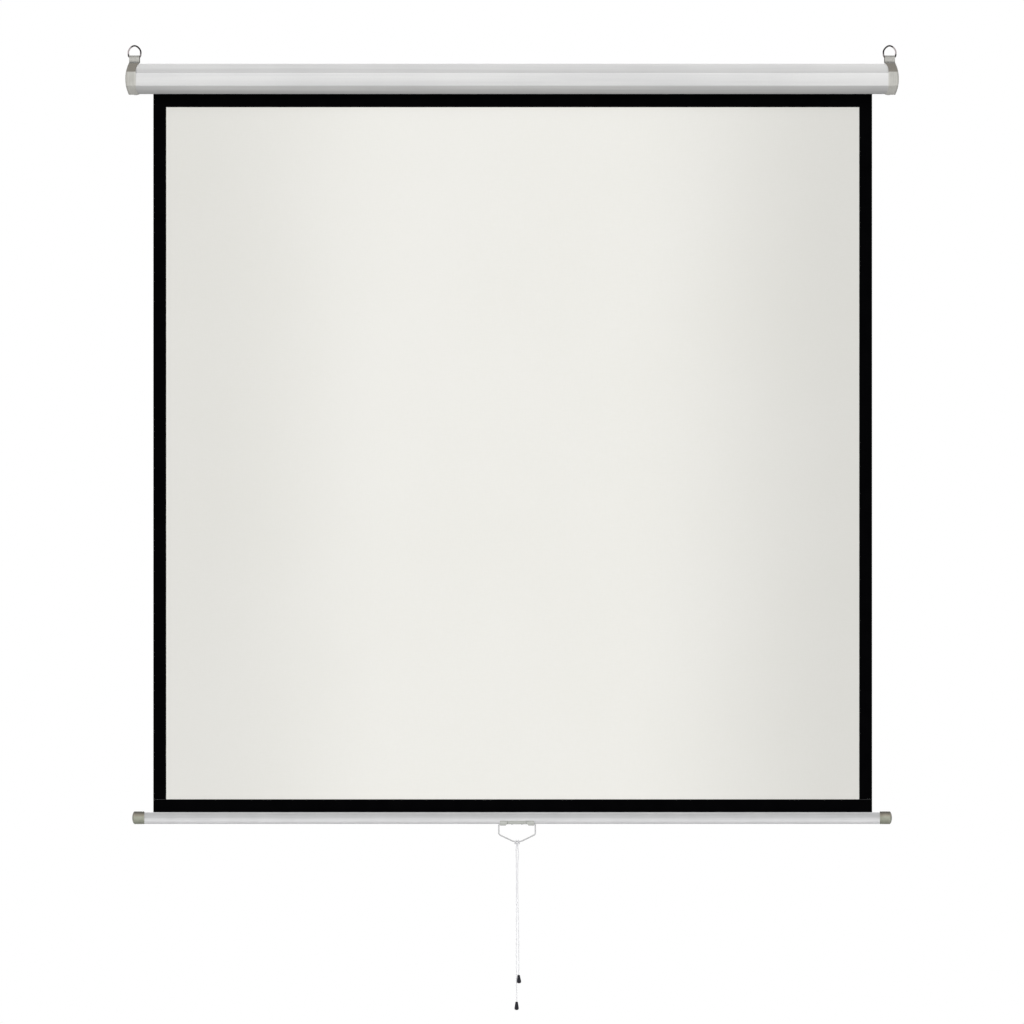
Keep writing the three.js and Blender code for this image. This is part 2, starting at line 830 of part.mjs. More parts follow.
piece(roller, "bearing_plate_left", mirrored(bearingPlate(bushHole)), zinc);
piece(roller, "bearing_plate_right", bearingPlate(tongueSlot), zinc);
piece(roller, "idle_bush", mirrored(idleBush()), nylon);
piece(roller, "gudgeon_pin", mirrored(gudgeonPin()), springSteel);
piece(roller, "idle_plug", mirrored(tubePlug(gudgeonRadius + clearance)), blackPlastic);
piece(
  roller,
  "roller_tube",
  turnedX(pipeProfile(tubeRadius - tubeWall, tubeRadius, -tubeHalf, tubeHalf), roundSides),
  rollerSteel,
);
piece(roller, "drive_ferrule", driveFerrule(), rollerSteel);
piece(roller, "spindle", spindle(), springSteel);
piece(roller, "ratchet_wheel", ratchetWheel(), springSteel);
for (const [name, way] of pawls) {
  const half = group(roller, 0, 0, 0);
  half.rotation.x = way > 0 ? 0 : Math.PI;
  piece(half, `pawl_pin_${name}`, pawlPin(), zinc, [0, 0, pawlCircle]);
  piece(half, `pawl_${name}`, pawl(), zinc);
}
piece(
  roller,
  "torsion_spring",
  turnedX(pipeProfile(springInner, springOutside, springFrom, springTo), roundSides),
  springSteel,
);
piece(roller, "spring_anchor", springAnchor(), blackPlastic);
piece(roller, "spring_drive_plug", springDrivePlug(), blackPlastic);
piece(
  roller,
  "fabric_wraps",
  turnedX(pipeProfile(wrapInside, wrapOutside, -clothHalf, clothHalf), roundSides),
  clothFinish,
);

// The cloth falls from the back of the roller. Its black border is a coat on the front.
function borderMask() {
  return alongY(
    [
      [-clothHalf, pictureBottom + seat],
      [-pictureWidth / 2, pictureBottom + seat],
      [-pictureWidth / 2, pictureTop],
      [pictureWidth / 2, pictureTop],
      [pictureWidth / 2, pictureBottom + seat],
      [clothHalf, pictureBottom + seat],
      [clothHalf, caseAxisZ],
      [-clothHalf, caseAxisZ],
    ],
    inkFront,
    inkFront + inkThickness,
  );
}

piece(
  screen,
  "screen_fabric",
  box(-clothHalf, clothHalf, clothFront, clothBack, pictureBottom + seat, caseAxisZ),
  clothFinish,
);
piece(screen, "border_mask", borderMask(), blackBorder);

// The weight bar's section: a round tube with a flat-sided neck, slotted for the cloth
const barInside = barRadius - barWall;
const slotHalf = barSlot / 2;
const hemRadius = hemRodRadius + hemGap + clothThickness;
const slotEdgeZ = Math.sqrt(barInside ** 2 - slotHalf ** 2);
const hemZ = slotEdgeZ - Math.sqrt((hemRadius + clearance) ** 2 - slotHalf ** 2);

function bottomBar() {
  const neckAngle = Math.acos(barNeckHalf / barRadius);
  const slotAngle = Math.acos(slotHalf / barInside);
  const section = [
    [slotHalf, barNeckTop],
    [barNeckHalf, barNeckTop],
    ...arc([0, 0], barRadius, neckAngle, -Math.PI - neckAngle, barSteps),
    [-barNeckHalf, barNeckTop],
    [-slotHalf, barNeckTop],
    ...arc([0, 0], barInside, -Math.PI - slotAngle, slotAngle, barSteps),
  ];
  return cut(alongX(section, -barHalf, barHalf), ...saddleScrewHoles(handleOffset));
}

function saddleScrewHoles(middle) {
  return sides.map(([, side]) =>
    turnedZ(
      roundProfile(saddleScrewRadius + clearance, -saddleOutside - overrun, overrun - barRadius),
      smallSides,
    ).translate(middle + side * saddleScrewSpread, 0, 0),
  );
}

function barCap() {
  const plug = barInside - 2 * clearance;
  const domeFrom = barHalf + barCapLength - barCapDome;
  return turnedX(
    [
      [0, clothHalf + barCapFit],
      [plug, clothHalf + barCapFit],
      [plug, barHalf + seat],
      [barCapRadius, barHalf + seat],
      ...barCapDomeShares.map(([r, x]) => [r * barCapRadius, domeFrom + x * barCapDome]),
    ],
    roundSides,
  );
}

// The black strip at the foot of the cloth, with a loop round the rod inside the bar.
function bottomHem() {
  const half = (clothBack - inkFront) / 2;
  const strip = box(-clothHalf, clothHalf, -half, half, hemZ + hemRodRadius, pictureBottom - barAxisZ);
  const loop = turnedX(roundProfile(hemRadius, -clothHalf, clothHalf), smallSides).translate(0, 0, hemZ);
  const bore = turnedX(
    roundProfile(hemRodRadius + hemGap, -clothHalf - overrun, clothHalf + overrun),
    smallSides,
  ).translate(0, 0, hemZ);
  return cut(join(strip, loop), bore);
}

const barFinish = finish(0xcfcfd0, 0.38, 0.35);
const barCapFinish = finish(0x9d9d8e, 0.4, 0.4);
const bracketFinish = finish(0xa9aaa3, 0.45, 0.3);
const bailFinish = finish(0xb9b9b9, 0.25, 0.95);
const cordFinish = finish(0xe6e6e8, 0.8, 0);

piece(weight, "bottom_hem", bottomHem(), blackBorder);
piece(
  weight,
  "hem_rod",
  turnedX(roundProfile(hemRodRadius, -clothHalf, clothHalf), smallSides),
  nylon,
  [0, 0, hemZ],
);
piece(weight, "bottom_bar", bottomBar(), barFinish);
piece(weight, "bar_cap_left", mirrored(barCap()), barCapFinish);
piece(weight, "bar_cap_right", barCap(), barCapFinish);

// A saddle round the underside of the bar, with two barrels for the bail's ends.
function handleBracket() {
  const down = -Math.PI / 2;
  const sweep = THREE.MathUtils.degToRad(saddleSweep);
  const saddle = alongX(
    [
      ...arc([0, 0], saddleInside, down - sweep, down + sweep, saddleSteps),
      ...arc([0, 0], saddleOutside, down + sweep, down - sweep, saddleSteps),
    ],
    -saddleHalf,
    saddleHalf,
  );
  const barrel = (radius, from, to) =>
    turnedX(roundProfile(radius, from, to), smallSides).translate(0, pivotY, pivotZ);
  const barrels = sides.map(([, side]) => {
    const middle = side * (saddleHalf - barrelLength / 2);
    return barrel(barrelRadius, middle - barrelLength / 2, middle + barrelLength / 2);
  });
  const bore = barrel(bailWire / 2 + clearance, -saddleHalf - overrun, saddleHalf + overrun);
  return cut(join(saddle, ...barrels), bore, ...saddleScrewHoles(0));
}

function bracketScrew() {
  const top = -saddleOutside - clearance;
  return turnedZ(
    [
      [0, top - saddleScrewHeadHeight],
      [saddleScrewHeadRadius * screwCrownShare, top - saddleScrewHeadHeight],
      [saddleScrewHeadRadius, top - saddleScrewHeadHeight / 2],
      [saddleScrewHeadRadius, top],
      [saddleScrewRadius, top],
      [saddleScrewRadius, top + saddleScrewLength],
      [0, top + saddleScrewLength],
    ],
    smallSides,
  );
}

function handleBail() {
  const at = (x, z) => new THREE.Vector3(x, 0, z);
  const innerEnd = saddleHalf - bailGrip;
  const points = [
    at(-innerEnd, 0),
    at(-bailHalf, 0),
    at(-bailHalf, -bailSide),
    at(-bailFootHalf, -bailDrop),
    at(bailFootHalf, -bailDrop),
    at(bailHalf, -bailSide),
    at(bailHalf, 0),
    at(innerEnd, 0),
  ];
  const bends = [bailBend, bailElbow, bailElbow, bailElbow, bailElbow, bailBend];
  return wire(roundedPath(points, bends), bailWire / 2, bailSteps, wireSides);
}

const bracket = group(weight, handleOffset, 0, 0);
piece(bracket, "handle_bracket", handleBracket(), bracketFinish);
for (const [name, side] of sides) {
  piece(bracket, `bracket_screw_${name}`, bracketScrew(), zinc, [side * saddleScrewSpread, 0, 0]);
}
piece(handle, "handle_bail", handleBail(), bailFinish);

// A rod between two points.
function rod(from, to, radius) {
  const line = new THREE.LineCurve3(new THREE.Vector3(...from), new THREE.Vector3(...to));
  return wire(line, radius, 1, wireSides);
}

// The cord's two turns round the bail's foot, drawn together in a knot below it.
function cordHitch() {
  const turnRadius = bailWire / 2 + clearance + cordDiameter / 2;
  const parts = sides.flatMap(([, side]) => [
    new THREE.TorusGeometry(turnRadius, cordDiameter / 2, wireSides, smallSides)
      .rotateY(Math.PI / 2)
      .translate(side * hitchHalf, 0, 0),
    rod([side * hitchHalf, 0, -turnRadius], [0, 0, -knotDrop], cordDiameter / 2),
  ]);
  const knot = new THREE.SphereGeometry(knotRadius, smallSides, wireSides).translate(0, 0, -knotDrop);
  return join(knot, ...parts);
}

function cordTail(route) {
  const path = new THREE.CatmullRomCurve3(route.map((point) => new THREE.Vector3(...point)));
  return wire(path, cordDiameter / 2, cordSteps, wireSides);
}

function cordBell() {
  return turnedZ(bellShares.map(([r, z]) => [r * bellRadius, -z * bellLength]), smallSides);
}

piece(pull, "cord_hitch", cordHitch(), cordFinish);
for (const [name, route] of [["left", cordRouteLeft], ["right", cordRouteRight]]) {
  const [x, y, z] = route[route.length - 1];
  piece(pull, `cord_${name}`, cordTail(route), cordFinish);
  piece(pull, `cord_bell_${name}`, cordBell(), blackPlastic, [x, y, z - clearance]);
}

export default screen;
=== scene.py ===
# A pull down projector screen, hung by two rings and drawn fully down. The picture faces -Y.
# Shapes are drawn in millimetres round their own axes, and put() sets them in place in metres.
import math

import bmesh
import bpy
from mathutils import Matrix, Vector

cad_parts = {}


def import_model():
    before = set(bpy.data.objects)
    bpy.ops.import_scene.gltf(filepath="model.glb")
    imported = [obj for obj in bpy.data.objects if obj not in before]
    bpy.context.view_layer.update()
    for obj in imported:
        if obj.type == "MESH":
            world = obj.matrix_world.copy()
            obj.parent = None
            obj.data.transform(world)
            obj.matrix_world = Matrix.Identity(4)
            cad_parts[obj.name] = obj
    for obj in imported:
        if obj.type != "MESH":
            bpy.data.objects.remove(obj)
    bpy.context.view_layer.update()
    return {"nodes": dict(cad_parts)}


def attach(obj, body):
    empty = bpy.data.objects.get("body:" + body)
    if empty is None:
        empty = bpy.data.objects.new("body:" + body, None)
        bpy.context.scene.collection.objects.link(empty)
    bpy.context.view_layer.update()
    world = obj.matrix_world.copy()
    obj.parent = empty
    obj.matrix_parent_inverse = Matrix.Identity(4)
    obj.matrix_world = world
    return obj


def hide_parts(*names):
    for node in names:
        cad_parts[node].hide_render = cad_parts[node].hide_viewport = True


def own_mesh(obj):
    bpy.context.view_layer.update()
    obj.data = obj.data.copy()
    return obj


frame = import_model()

MM = 0.001
SIDES = (("left", -1), ("right", 1))
SHEET_EDGE = 0.18  # how far the edges of bent sheet steel are rounded off
DOWN = Matrix.Rotation(math.pi, 3, "X")  # turns what points up to point down
BACK = Matrix.Rotation(-math.pi / 2, 3, "X")  # or to the back
STAND = Matrix.Rotation(math.pi / 2, 3, "X")  # or to the front

# Case and caps, round the case's axis
CASE_AXIS = Vector((0, 0, -72.7))
CASE_REACH = 33.2  # from the axis to each face
CASE_FACE = 14.75  # half of a level or an upright face
CASE_FOLDS = (12.55, -15.5)  # heights of the front face's two folds
CASE_HALF = 838.45
CASE_STEEL = 0.7
CASE_BEND = 1.1
SLOT_BEND = 0.6
SLOT_FRONT = -4.365
SLOT_BACK = 12.935
LIP = 4  # of the slot
CAP_GROW = 1.5  # how far a cap stands out from the case's faces
CAP_REACH = CASE_REACH + CAP_GROW
CAP_WALL = 1.2
CAP_END = 850.05
CAP_DOME = 7.5
CAP_BEND = 1.2
CAP_SLICES = 14  # of the domed end
CAP_RIM = 827.3
CAP_SLANT = 7.3  # how much further in the rim is at the top and bottom
RIM_PIECES = 8  # of each slanting part
LOWER_SCREW = (827.05, -9.56)
REAR_SCREW_X = 833.05
REAR_POCKET = [(0, -3), (1.9, -3), (1.9, -1.2), (3.5, 0), (3.5, 1), (0, 1)]

# Screws: a head's radius and height, then its shank's radius and length. Recesses: an arm's
# half width, reach and depth
CAP_SCREW = (4, 1.1, 1.6, 6)
CAP_RECESS = (0.55, 2.1, 0.7)
SUNK_HEAD = 3.2
SUNK_RECESS = (0.5, 1.8, 0.6)
SADDLE_SCREW = (2.4, 0.6, 1.4, 5)
SADDLE_RECESS = (0.38, 1.3, 0.4)
SCREW_SIDES = 32

# Hangers
RING_X = 830.05
RING_BAR_Z = -24.4
RING_HALF = 13.7
RING_HEIGHT = 24.5
RING_WIRE = 3.6
RING_ROWS = [  # points and their two handles, as shares of the half width and the height
    ((-0.8, 0), (-0.97, 0), (-0.3, 0)),
    ((0.8, 0), (0.3, 0), (0.97, 0)),
    ((1, 0.42), (0.99, 0.17), (1, 0.66)),
    ((0, 1), (0.48, 1), (-0.48, 1)),
    ((-1, 0.42), (-1, 0.66), (-0.99, 0.17)),
]
STRAP_HALF = 12
STRAP_FOOT = 13
STRAP_STAND = 13.55  # from the cap's top to the ring's bar
STRAP_STEEL = 1.2
STRAP_FOLD = 3.3
STRAP_BEND = 0.6
STRAP_CORNER = 3
RIVET_Y = 7.95
RIVET_SHANK = 1.5
RIVET_HEAD = (2.4, 1.2)  # radius and height
RIVET_TAIL = (2.2, 0.8)

# Cloth
CLOTH_AT = Vector((1.35, 0, 0))  # the cloth hangs a little to the right
CLOTH_HALF = 790.3
PICTURE_HALF = 762
PICTURE_TOP = -134.75
CLOTH_FOOT = -1656.65
CLOTH_TOP = -72.7
CLOTH_CELLS = (110, 120)  # across and down
THREAD_PITCH = 0.0016  # in metres
INK_FRONT = 8.36
INK = 0.12
CLOTH_FRONT = 8.53
CLOTH = 0.38
ROLLER_AXIS = Vector((0, -9, -72.7))
WRAP_INSIDE = 16.3
WRAP_TURNS = 2
WRAP_STEPS = 64  # a turn
WRAP_GAP = 0.03  # from turn to turn
SPRING_FROM = 424.95
SPRING_TO = 774.95
SPRING_MIDDLE = 9.25  # from the roller's axis to the middle of the wire
SPRING_WIRE = 2.5
SPRING_STEPS = 14  # a turn
SPRING_DOUBLINGS = 7

# Weight bar and handle, round the bar's axis
BAR_AXIS = Vector((0, 8.635, -1698.1))
BAR_RADIUS = 12.6
BAR_WALL = 1.2
BAR_HALF = 808.6
BAR_BEND = 0.5
NECK_HALF = 6
NECK_TOP = 12.9
SLOT_HALF = 1.2
BAR_CAP_RADIUS = 14
BAR_CAP_START = BAR_HALF + 0.05
BAR_CAP_LENGTH = 26.8
BAR_CAP_DOME = 5.2
BAR_CAP_COLLAR = [(-0.7, 0), (-0.2, 0.2), (0, 0.7), (0, 3.4), (-0.5, 3.7), (-0.5, 4.5), (0, 4.8)]
BAR_CAP_SHARES = [  # of its domed end: radius and reach
    (1, 0), (0.985, 0.12), (0.93, 0.3), (0.8, 0.54), (0.62, 0.72), (0.46, 0.85), (0.3, 0.94),
    (0.15, 0.985), (0, 1),
]
BAR_CAP_LIFT = 0.8  # how much higher the cap is than its plug
PLUG_LENGTH = 17
PLUG_RADII = (10.4, 10.6)
HEM_Z = 8.885  # the middle of the hem's loop
HEM_RADIUS = 2.24
HEM_LAYER = 0.25
HEM_HALF = 0.14  # half of the gap between its two layers
HEM_ROW = 18  # from its top to a row of corners
HANDLE_X = 10.9
SADDLE_OUTSIDE = 13.5
SADDLE_WALL = 0.8
SADDLE_HALF = 37.5
SADDLE_CORNER = 4
SADDLE_EDGE = 0.2
SADDLE_SWEEP = math.radians(65)  # to either side of straight down
SADDLE_SCREW_X = 11
PIVOT = Vector((0, -9.227, -13.679))
BARREL_RADIUS = 2.6
BARREL_WALL = 0.8
BARREL_INNER_END = 21
LUG_LEAVES = math.radians(-148)  # where on the saddle a lug starts
LUG_MEETS = math.radians(165)  # where on its barrel it arrives
LUG_ROLL = math.radians(285)  # how far it is rolled round from there
LUG_CUT_TOP = -12  # where the slanting cut of a lug's inner end starts
LUG_CUT = 0.93  # how far the cut moves out for each mm down
BAIL_WIRE = 3
BAIL_HALF = 40.1
BAIL_SIDE = -22.2
BAIL_FOOT_HALF = 8.1
BAIL_DROP = -37.6
BAIL_INNER_END = 24
BAIL_BENDS = (2.3, 4, 4, 4, 4, 2.3)  # from each corner to the start of its bend

# Pull cord, from the middle of the bail's foot
FOOT = BAR_AXIS + PIVOT + Vector((HANDLE_X, 0, BAIL_DROP))
CORD = 2.2
CORD_PLAY = 0.12  # between the cord and what it goes round or through
BRAID_PITCH = 2.6
BRAID_STRANDS = 4
KNOT_FOOT = -8.6
KNOT_TOP = -7.2
KNOT_SIZE = (1.45, 1.35, 2)  # half widths and height
KNOT_TURNS = 2
KNOT_STEPS = 40
BELL_DROP = 0.3
BELL_RADIUS = 4.8
BELL_LENGTH = 18.8
BELL_LEAN = math.radians(3.5)
CORD_IN_BELL = 6
CORD_ROUTES = {
    "left": [
        (-1.3, 0, -10.4), (-1.9, 0, -16), (-2.2, 0, -24), (-2, 0, -34), (-1.6, 0, -48),
        (-1.4, 0, -70), (-1.4, 0, -98), (-1.4, 0.1, -128), (-1.5, 0.2, -160), (-1.6, 0.3, -195),
        (-1.6, 0.4, -230), (-1.6, 0.5, -262), (-1.5, 0.6, -292), (-1.3, 0.5, -322),
        (-0.9, 0.3, -351.7),
    ],
    "right": [
        (1.3, 0, -10.4), (2.3, -0.1, -16), (2.9, -0.2, -24), (2.6, -0.2, -34), (1.7, -0.2, -48),
        (1.3, -0.2, -66), (1.3, -0.3, -86), (1.4, -0.6, -108), (1.9, -1.1, -132),
        (2.5, -1.7, -158), (3, -2.4, -186), (3.3, -3, -214), (3.5, -3.5, -242),
        (3.6, -3.8, -268), (3.4, -4, -292.8),
    ],
}
CORD_LENGTHS = {"left": 0.35, "right": 0.291}

# Camera and studio
EYE_DISTANCE = 60
FAR_LIMIT = 200
VIEW_WIDTH = 2.2518
VIEW_MIDDLE = Vector((-0.0002, 0.0085, -1.0249))
FLOOR_Z = -2.45
FLOOR_HALF = 14
FLOOR_GLOW = 0.6
ROOM_LIGHT = 0.16


# Shader nodes

class Reading:
    """A value read off a shader socket, which can stand in sums and products."""

    def __init__(self, nodes, socket):
        self.nodes = nodes
        self.socket = socket

    def math(self, operation, other=0.0):
        return self.nodes.node("ShaderNodeMath", {0: self, 1: other}, operation=operation)

    def __add__(self, other):
        return self.math("ADD", other)

    __radd__ = __add__

    def __sub__(self, other):
        return self.math("SUBTRACT", other)

    def __mul__(self, other):
        return self.math("MULTIPLY", other)

    def most(self, other):
        return self.math("MAXIMUM", other)

    def sine(self):
        return self.math("SINE")


class Nodes:
    """The nodes of one material or of the world."""

    def __init__(self, owner):
        owner.use_nodes = True
        self.tree = owner.node_tree

    def node(self, kind, inputs, output=0, stops=(), **settings):
        made = self.tree.nodes.new(kind)
        for setting, value in settings.items():
            setattr(made, setting, value)
        for _ in stops[2:]:
            made.color_ramp.elements.new(1)
        if stops:
            for stop, (position, colour) in zip(made.color_ramp.elements, stops):
                stop.position = position
                stop.color = colour
        for name, value in inputs.items():
            self.feed(made.inputs[name], value)
        return Reading(self, made.outputs[output])

    def feed(self, socket, value):
        if isinstance(value, Reading):
            self.tree.links.new(value.socket, socket)
        else:
            socket.default_value = value


class Finish(Nodes):
    """A material, built up round its one main shader."""

    def __init__(self, name, **constants):
        self.material = bpy.data.materials.new(name)
        super().__init__(self.material)
        self.shader = self.tree.nodes["Principled BSDF"]
        self.set(**constants)

    def set(self, **values):
        for name, value in values.items():
            self.feed(self.shader.inputs[name.replace("_", " ")], value)

    def coordinates(self, source="Object"):
        return self.node("ShaderNodeTexCoord", {}, source)

    def axis(self, letter, source="Object"):
        return self.node("ShaderNodeSeparateXYZ", {0: self.coordinates(source)}, letter)

    def height(self, origin=0.0):
        """Height in millimetres above an origin."""
        return self.axis("Z") * 1000 - origin

    def outwards(self, middle=0.0):
        """Distance in millimetres to either side of a middle."""
        return (self.axis("X") * 1000 - middle).math("ABSOLUTE")

    def noise(self, scale, detail, stretch=(1, 1, 1)):
        place = self.node("ShaderNodeMapping", {"Vector": self.coordinates(), "Scale": stretch})
        inputs = {"Vector": place, "Scale": scale, "Detail": detail}
        return self.node("ShaderNodeTexNoise", inputs, "Fac")

    def band(self, value, low, high, least=0.0, most=1.0):
        """A smooth step from least to most, as the value goes from low to high."""
        inputs = {0: value, 1: low, 2: high, 3: least, 4: most}
        return self.node("ShaderNodeMapRange", inputs, interpolation_type="SMOOTHSTEP")

    def ramp(self, value, stops):
        """Greys by a value: each stop is a value and its grey, in rising order."""
        low, high = stops[0][0], stops[-1][0]
        share = self.node("ShaderNodeMapRange", {0: value, 1: low, 2: high})
        table = [((at - low) / (high - low), (grey, grey, grey, 1)) for at, grey in stops]
        return self.node("ShaderNodeValToRGB", {0: share}, stops=table)

    def blend(self, share, *colours):
        """Mixes two colours, each a reading or as it looks on a display."""
        first, second = (c if isinstance(c, Reading) else on_display(*c) for c in colours)
        return self.node("ShaderNodeMix", {0: share, 6: first, 7: second}, 2, data_type="RGBA")

    def shade(self, colour, grey):
        inputs = {0: 1.0, 6: colour, 7: grey}
        return self.node("ShaderNodeMix", inputs, 2, data_type="RGBA", blend_type="MULTIPLY")

    def relief(self, height, depth):
        """Bumps of a depth in millimetres."""
        self.set(Normal=self.node("ShaderNodeBump", {"Distance": depth * MM, "Height": height}))


def on_display(*colour):
    """A colour as it looks on a display, from 0 to 255, as the shader's own values."""
    parts = [part / 255 for part in colour]
    linear = [((part + 0.055) / 1.055) ** 2.4 if part > 0.04 else part / 12.92 for part in parts]
    return (*linear, 1)


# Finishes

def case_paint():
    finish = Finish("roll formed case paint", Specular_IOR_Level=0.35)
    drawn = finish.noise(90, 4, (0.02, 1, 1))
    mottle = finish.noise(7, 3)
    dust = finish.noise(650, 2)
    tone = drawn * 0.6 + mottle * 0.25 + dust * 0.15
    paint = finish.blend(finish.band(tone, 0.32, 0.68), (213, 213, 213), (227, 227, 226))
    # Painted shade: each facet of the case lighter or darker by height, as light falls on it
    painted_shade = finish.ramp(finish.height(), [
        (-105.9, 0.61), (-88.3, 0.97), (-88.2, 0.93), (-60.2, 1.04), (-60.1, 0.71), (-39.5, 0.9),
    ])
    # Wear in patches, which only makes the paint rougher
    wear_and_knot_grey = finish.band(finish.noise(45, 6, (0.4, 1, 1)), 0.6, 0.72)
    roughness = 0.42 + drawn * 0.08 + wear_and_knot_grey * 0.12
    finish.set(Base_Color=finish.shade(paint, painted_shade), Roughness=roughness)
    finish.relief(finish.noise(420, 2) + drawn * 0.5, 0.12)
    return finish


def cap_metal():
    finish = Finish("satin end cap", Specular_IOR_Level=0.4)
    brushed = finish.noise(900, 3, (1, 1, 0.03))
    cloud = finish.noise(60, 4)
    tone = finish.band(brushed * 0.6 + cloud * 0.4, 0.35, 0.65)
    metal = finish.blend(tone, (199, 198, 191), (218, 217, 211))
    # Painted reflection: a browner, darker copy of the metal for the upper facet
    upper_facet_reflection = finish.blend(tone, (186, 180, 168), (206, 200, 188))
    height = finish.height()
    upper = finish.band(height, -57.6, -57.0) * finish.band(height, -38.3, -38.9)
    # Painted shade: the cap's facets lighter or darker by height
    painted_shade = finish.ramp(height, [
        (-107.4, 0.8), (-88.2, 0.96), (-88.0, 0.76), (-57.5, 0.71), (-57.3, 0.38), (-38, 0.35),
    ])
    out = finish.outwards()
    # Painted highlight: paler along the inboard rim of the front facet
    front = finish.band(height, -88.2, -88.0) * finish.band(height, -57.3, -57.5)
    rim = finish.band(out, 830.6, 829.6) * front
    shaded = finish.shade(finish.blend(upper, metal, upper_facet_reflection), painted_shade)
    from_axis = height - CASE_AXIS.z
    past_dome = out + from_axis * from_axis * (CAP_DOME / CAP_REACH ** 2)
    # Painted shade: the domed end gets a copy of the metal shaded to 0.6, and from the outer
    # rounding onwards it is darkened further
    end = finish.band(past_dome, 848.7, 849.5)
    edge = finish.band(past_dome, 846.4, 847.8)
    shaded = finish.blend(end, shaded, finish.shade(metal, (0.6, 0.6, 0.6, 1)))
    colour = finish.blend(rim * 0.45, shaded, (214, 213, 207))
    worn = finish.band(finish.noise(150, 6), 0.63, 0.74)
    # Real wear in patches, and painted shade from the outer rounding onwards, both towards dark
    # grey
    finish.set(
        Base_Color=finish.blend((worn * 0.2).most(edge * 0.3), colour, (120, 118, 112)),
        Metallic=0.2 + worn * 0.2,
        Roughness=0.44 + cloud * 0.12,
    )
    finish.relief(brushed * 0.4 + finish.noise(700, 2) * 0.6, 0.08)
    return finish


def strap_steel():
    finish = Finish("plated strap steel", Specular_IOR_Level=0.4)
    rolled = finish.noise(800, 3, (0.05, 1, 1))
    spangle = finish.noise(260, 3)
    tone = finish.band(rolled * 0.5 + spangle * 0.5, 0.35, 0.65)
    flat = finish.blend(tone, (168, 167, 162), (186, 185, 180))
    height = finish.height()
    # Painted shade: dark lines at the strap's folds and lighter flats, by height
    painted_shade = finish.ramp(height, [
        (-40, 0.5), (-37.6, 0.42), (-36.2, 0.46), (-34.6, 0.82), (-32.6, 1), (-26.2, 1),
        (-24.6, 0.84), (-23.4, 0.6), (-22.2, 0.6), (-21.2, 0.8),
    ])
    # Painted shadow down the strap's inboard edge
    painted_edge_shadow = finish.band(finish.outwards(), 820.0, 819.5) * finish.band(height, -37, -34)
    finish.set(
        Base_Color=finish.blend(painted_edge_shadow, finish.shade(flat, painted_shade), (62, 58, 52)),
        Metallic=0.25 + tone * 0.1,
        Roughness=0.42 + spangle * 0.12,
    )
    finish.relief(rolled, 0.04)
    return finish


def wire_metal(name, bright, dull, metallic, roughness):
    """Drawn wire: faint lines along it, and duller spots."""
    finish = Finish(name)
    spots = finish.noise(420, 4)
    drawn = (finish.axis("Y", "UV") * 150).sine() * 0.5 + 0.5
    finish.tint = finish.blend(finish.band(spots, 0.4, 0.68), bright, dull)
    finish.set(Base_Color=finish.tint, Metallic=metallic, Roughness=roughness + spots * 0.1)
    finish.relief(drawn * 0.3 + spots * 0.7, 0.03)
    return finish


def ring_chrome():
    """Dark chrome, with a painted glint on the side away from the screen and at the inboard lower
    corner.
    """
    finish = wire_metal("ring chrome", (62, 58, 57), (38, 36, 36), 0.9, 0.16)
    out, height = finish.outwards(), finish.height()
    bow = finish.band(height, -20.5, -16) * finish.band(height, -0.5, -5)
    # Painted glint: paler on the outboard side of the bow and at the inboard lower corner
    painted_glint = finish.band(out, 833.5, 839) * bow * 0.9
    corner = finish.band(out, 820, 817.5) * finish.band(height, -16, -19) * 0.5
    finish.set(Base_Color=finish.blend(painted_glint.most(corner), finish.tint, (184, 175, 176)))
    return finish


def machined_metal(name, bright, dull, metallic, roughness, grain):
    """Turned or rolled metal, with its grain and a little staining."""
    finish = Finish(name)
    lines = finish.noise(1100, 3, grain)
    stain = finish.noise(130, 5)
    tone = finish.band(stain * 0.6 + lines * 0.4, 0.38, 0.64)
    finish.set(
        Base_Color=finish.blend(tone, bright, dull),
        Metallic=metallic,
        Roughness=roughness + stain * 0.12,
    )
    finish.relief(lines, 0.03)
    return finish


def moulded_plastic(name, bright, dull, roughness):
    """Moulded plastic: a fine orange peel, a faint flow pattern and handling marks."""
    finish = Finish(name, Specular_IOR_Level=0.4)
    flow = finish.noise(70, 4, (0.4, 1, 1))
    finish.set(
        Base_Color=finish.blend(finish.band(flow, 0.35, 0.65), bright, dull),
        Roughness=roughness + finish.band(finish.noise(300, 5), 0.5, 0.7) * 0.12,
    )
    finish.relief(finish.noise(900, 2), 0.05)
    return finish


def weave(finish):
    """Threads across and down, as a height from 0 to 1."""
    turn = 2 * math.pi / THREAD_PITCH
    across = (finish.axis("X") * turn).sine()
    down = (finish.axis("Z") * turn).sine()
    return across * down * 0.5 + 0.5


def matte_white_cloth():
    finish = Finish("matt white screen cloth", Roughness=0.92, Specular_IOR_Level=0.05)
    threads = weave(finish)
    slub = finish.noise(500, 3, (0.15, 1, 1)) * 0.5 + finish.noise(500, 3, (1, 1, 0.15)) * 0.5
    cloud = finish.noise(2.2, 3)
    tone = finish.band(slub * 0.5 + cloud * 0.5, 0.3, 0.7)
    coat = finish.blend(tone, (237, 236, 230), (240, 239, 234))
    # Painted shade: the cloth's tone falls off towards its left and right edges, more on the right
    across = finish.axis("X")
    left = finish.band(across, -0.72, -0.24, 0.885, 1.0)
    right = finish.band(across, 0.77, 0.22, 0.825, 1.0)
    finish.set(Base_Color=finish.shade(coat, left * right))
    finish.relief(threads * 0.4 + slub * 0.6, 0.05)
    return finish


def black_border():
    finish = Finish("black border print", Specular_IOR_Level=0.0)
    threads = weave(finish)
    cloud = finish.noise(30, 4)
    finish.set(
        Base_Color=finish.blend(cloud * 0.6 + threads * 0.4, (1, 1, 2), (9, 9, 10)),
        Roughness=0.8 + cloud * 0.15,
    )
    finish.relief(threads, 0.03)
    return finish


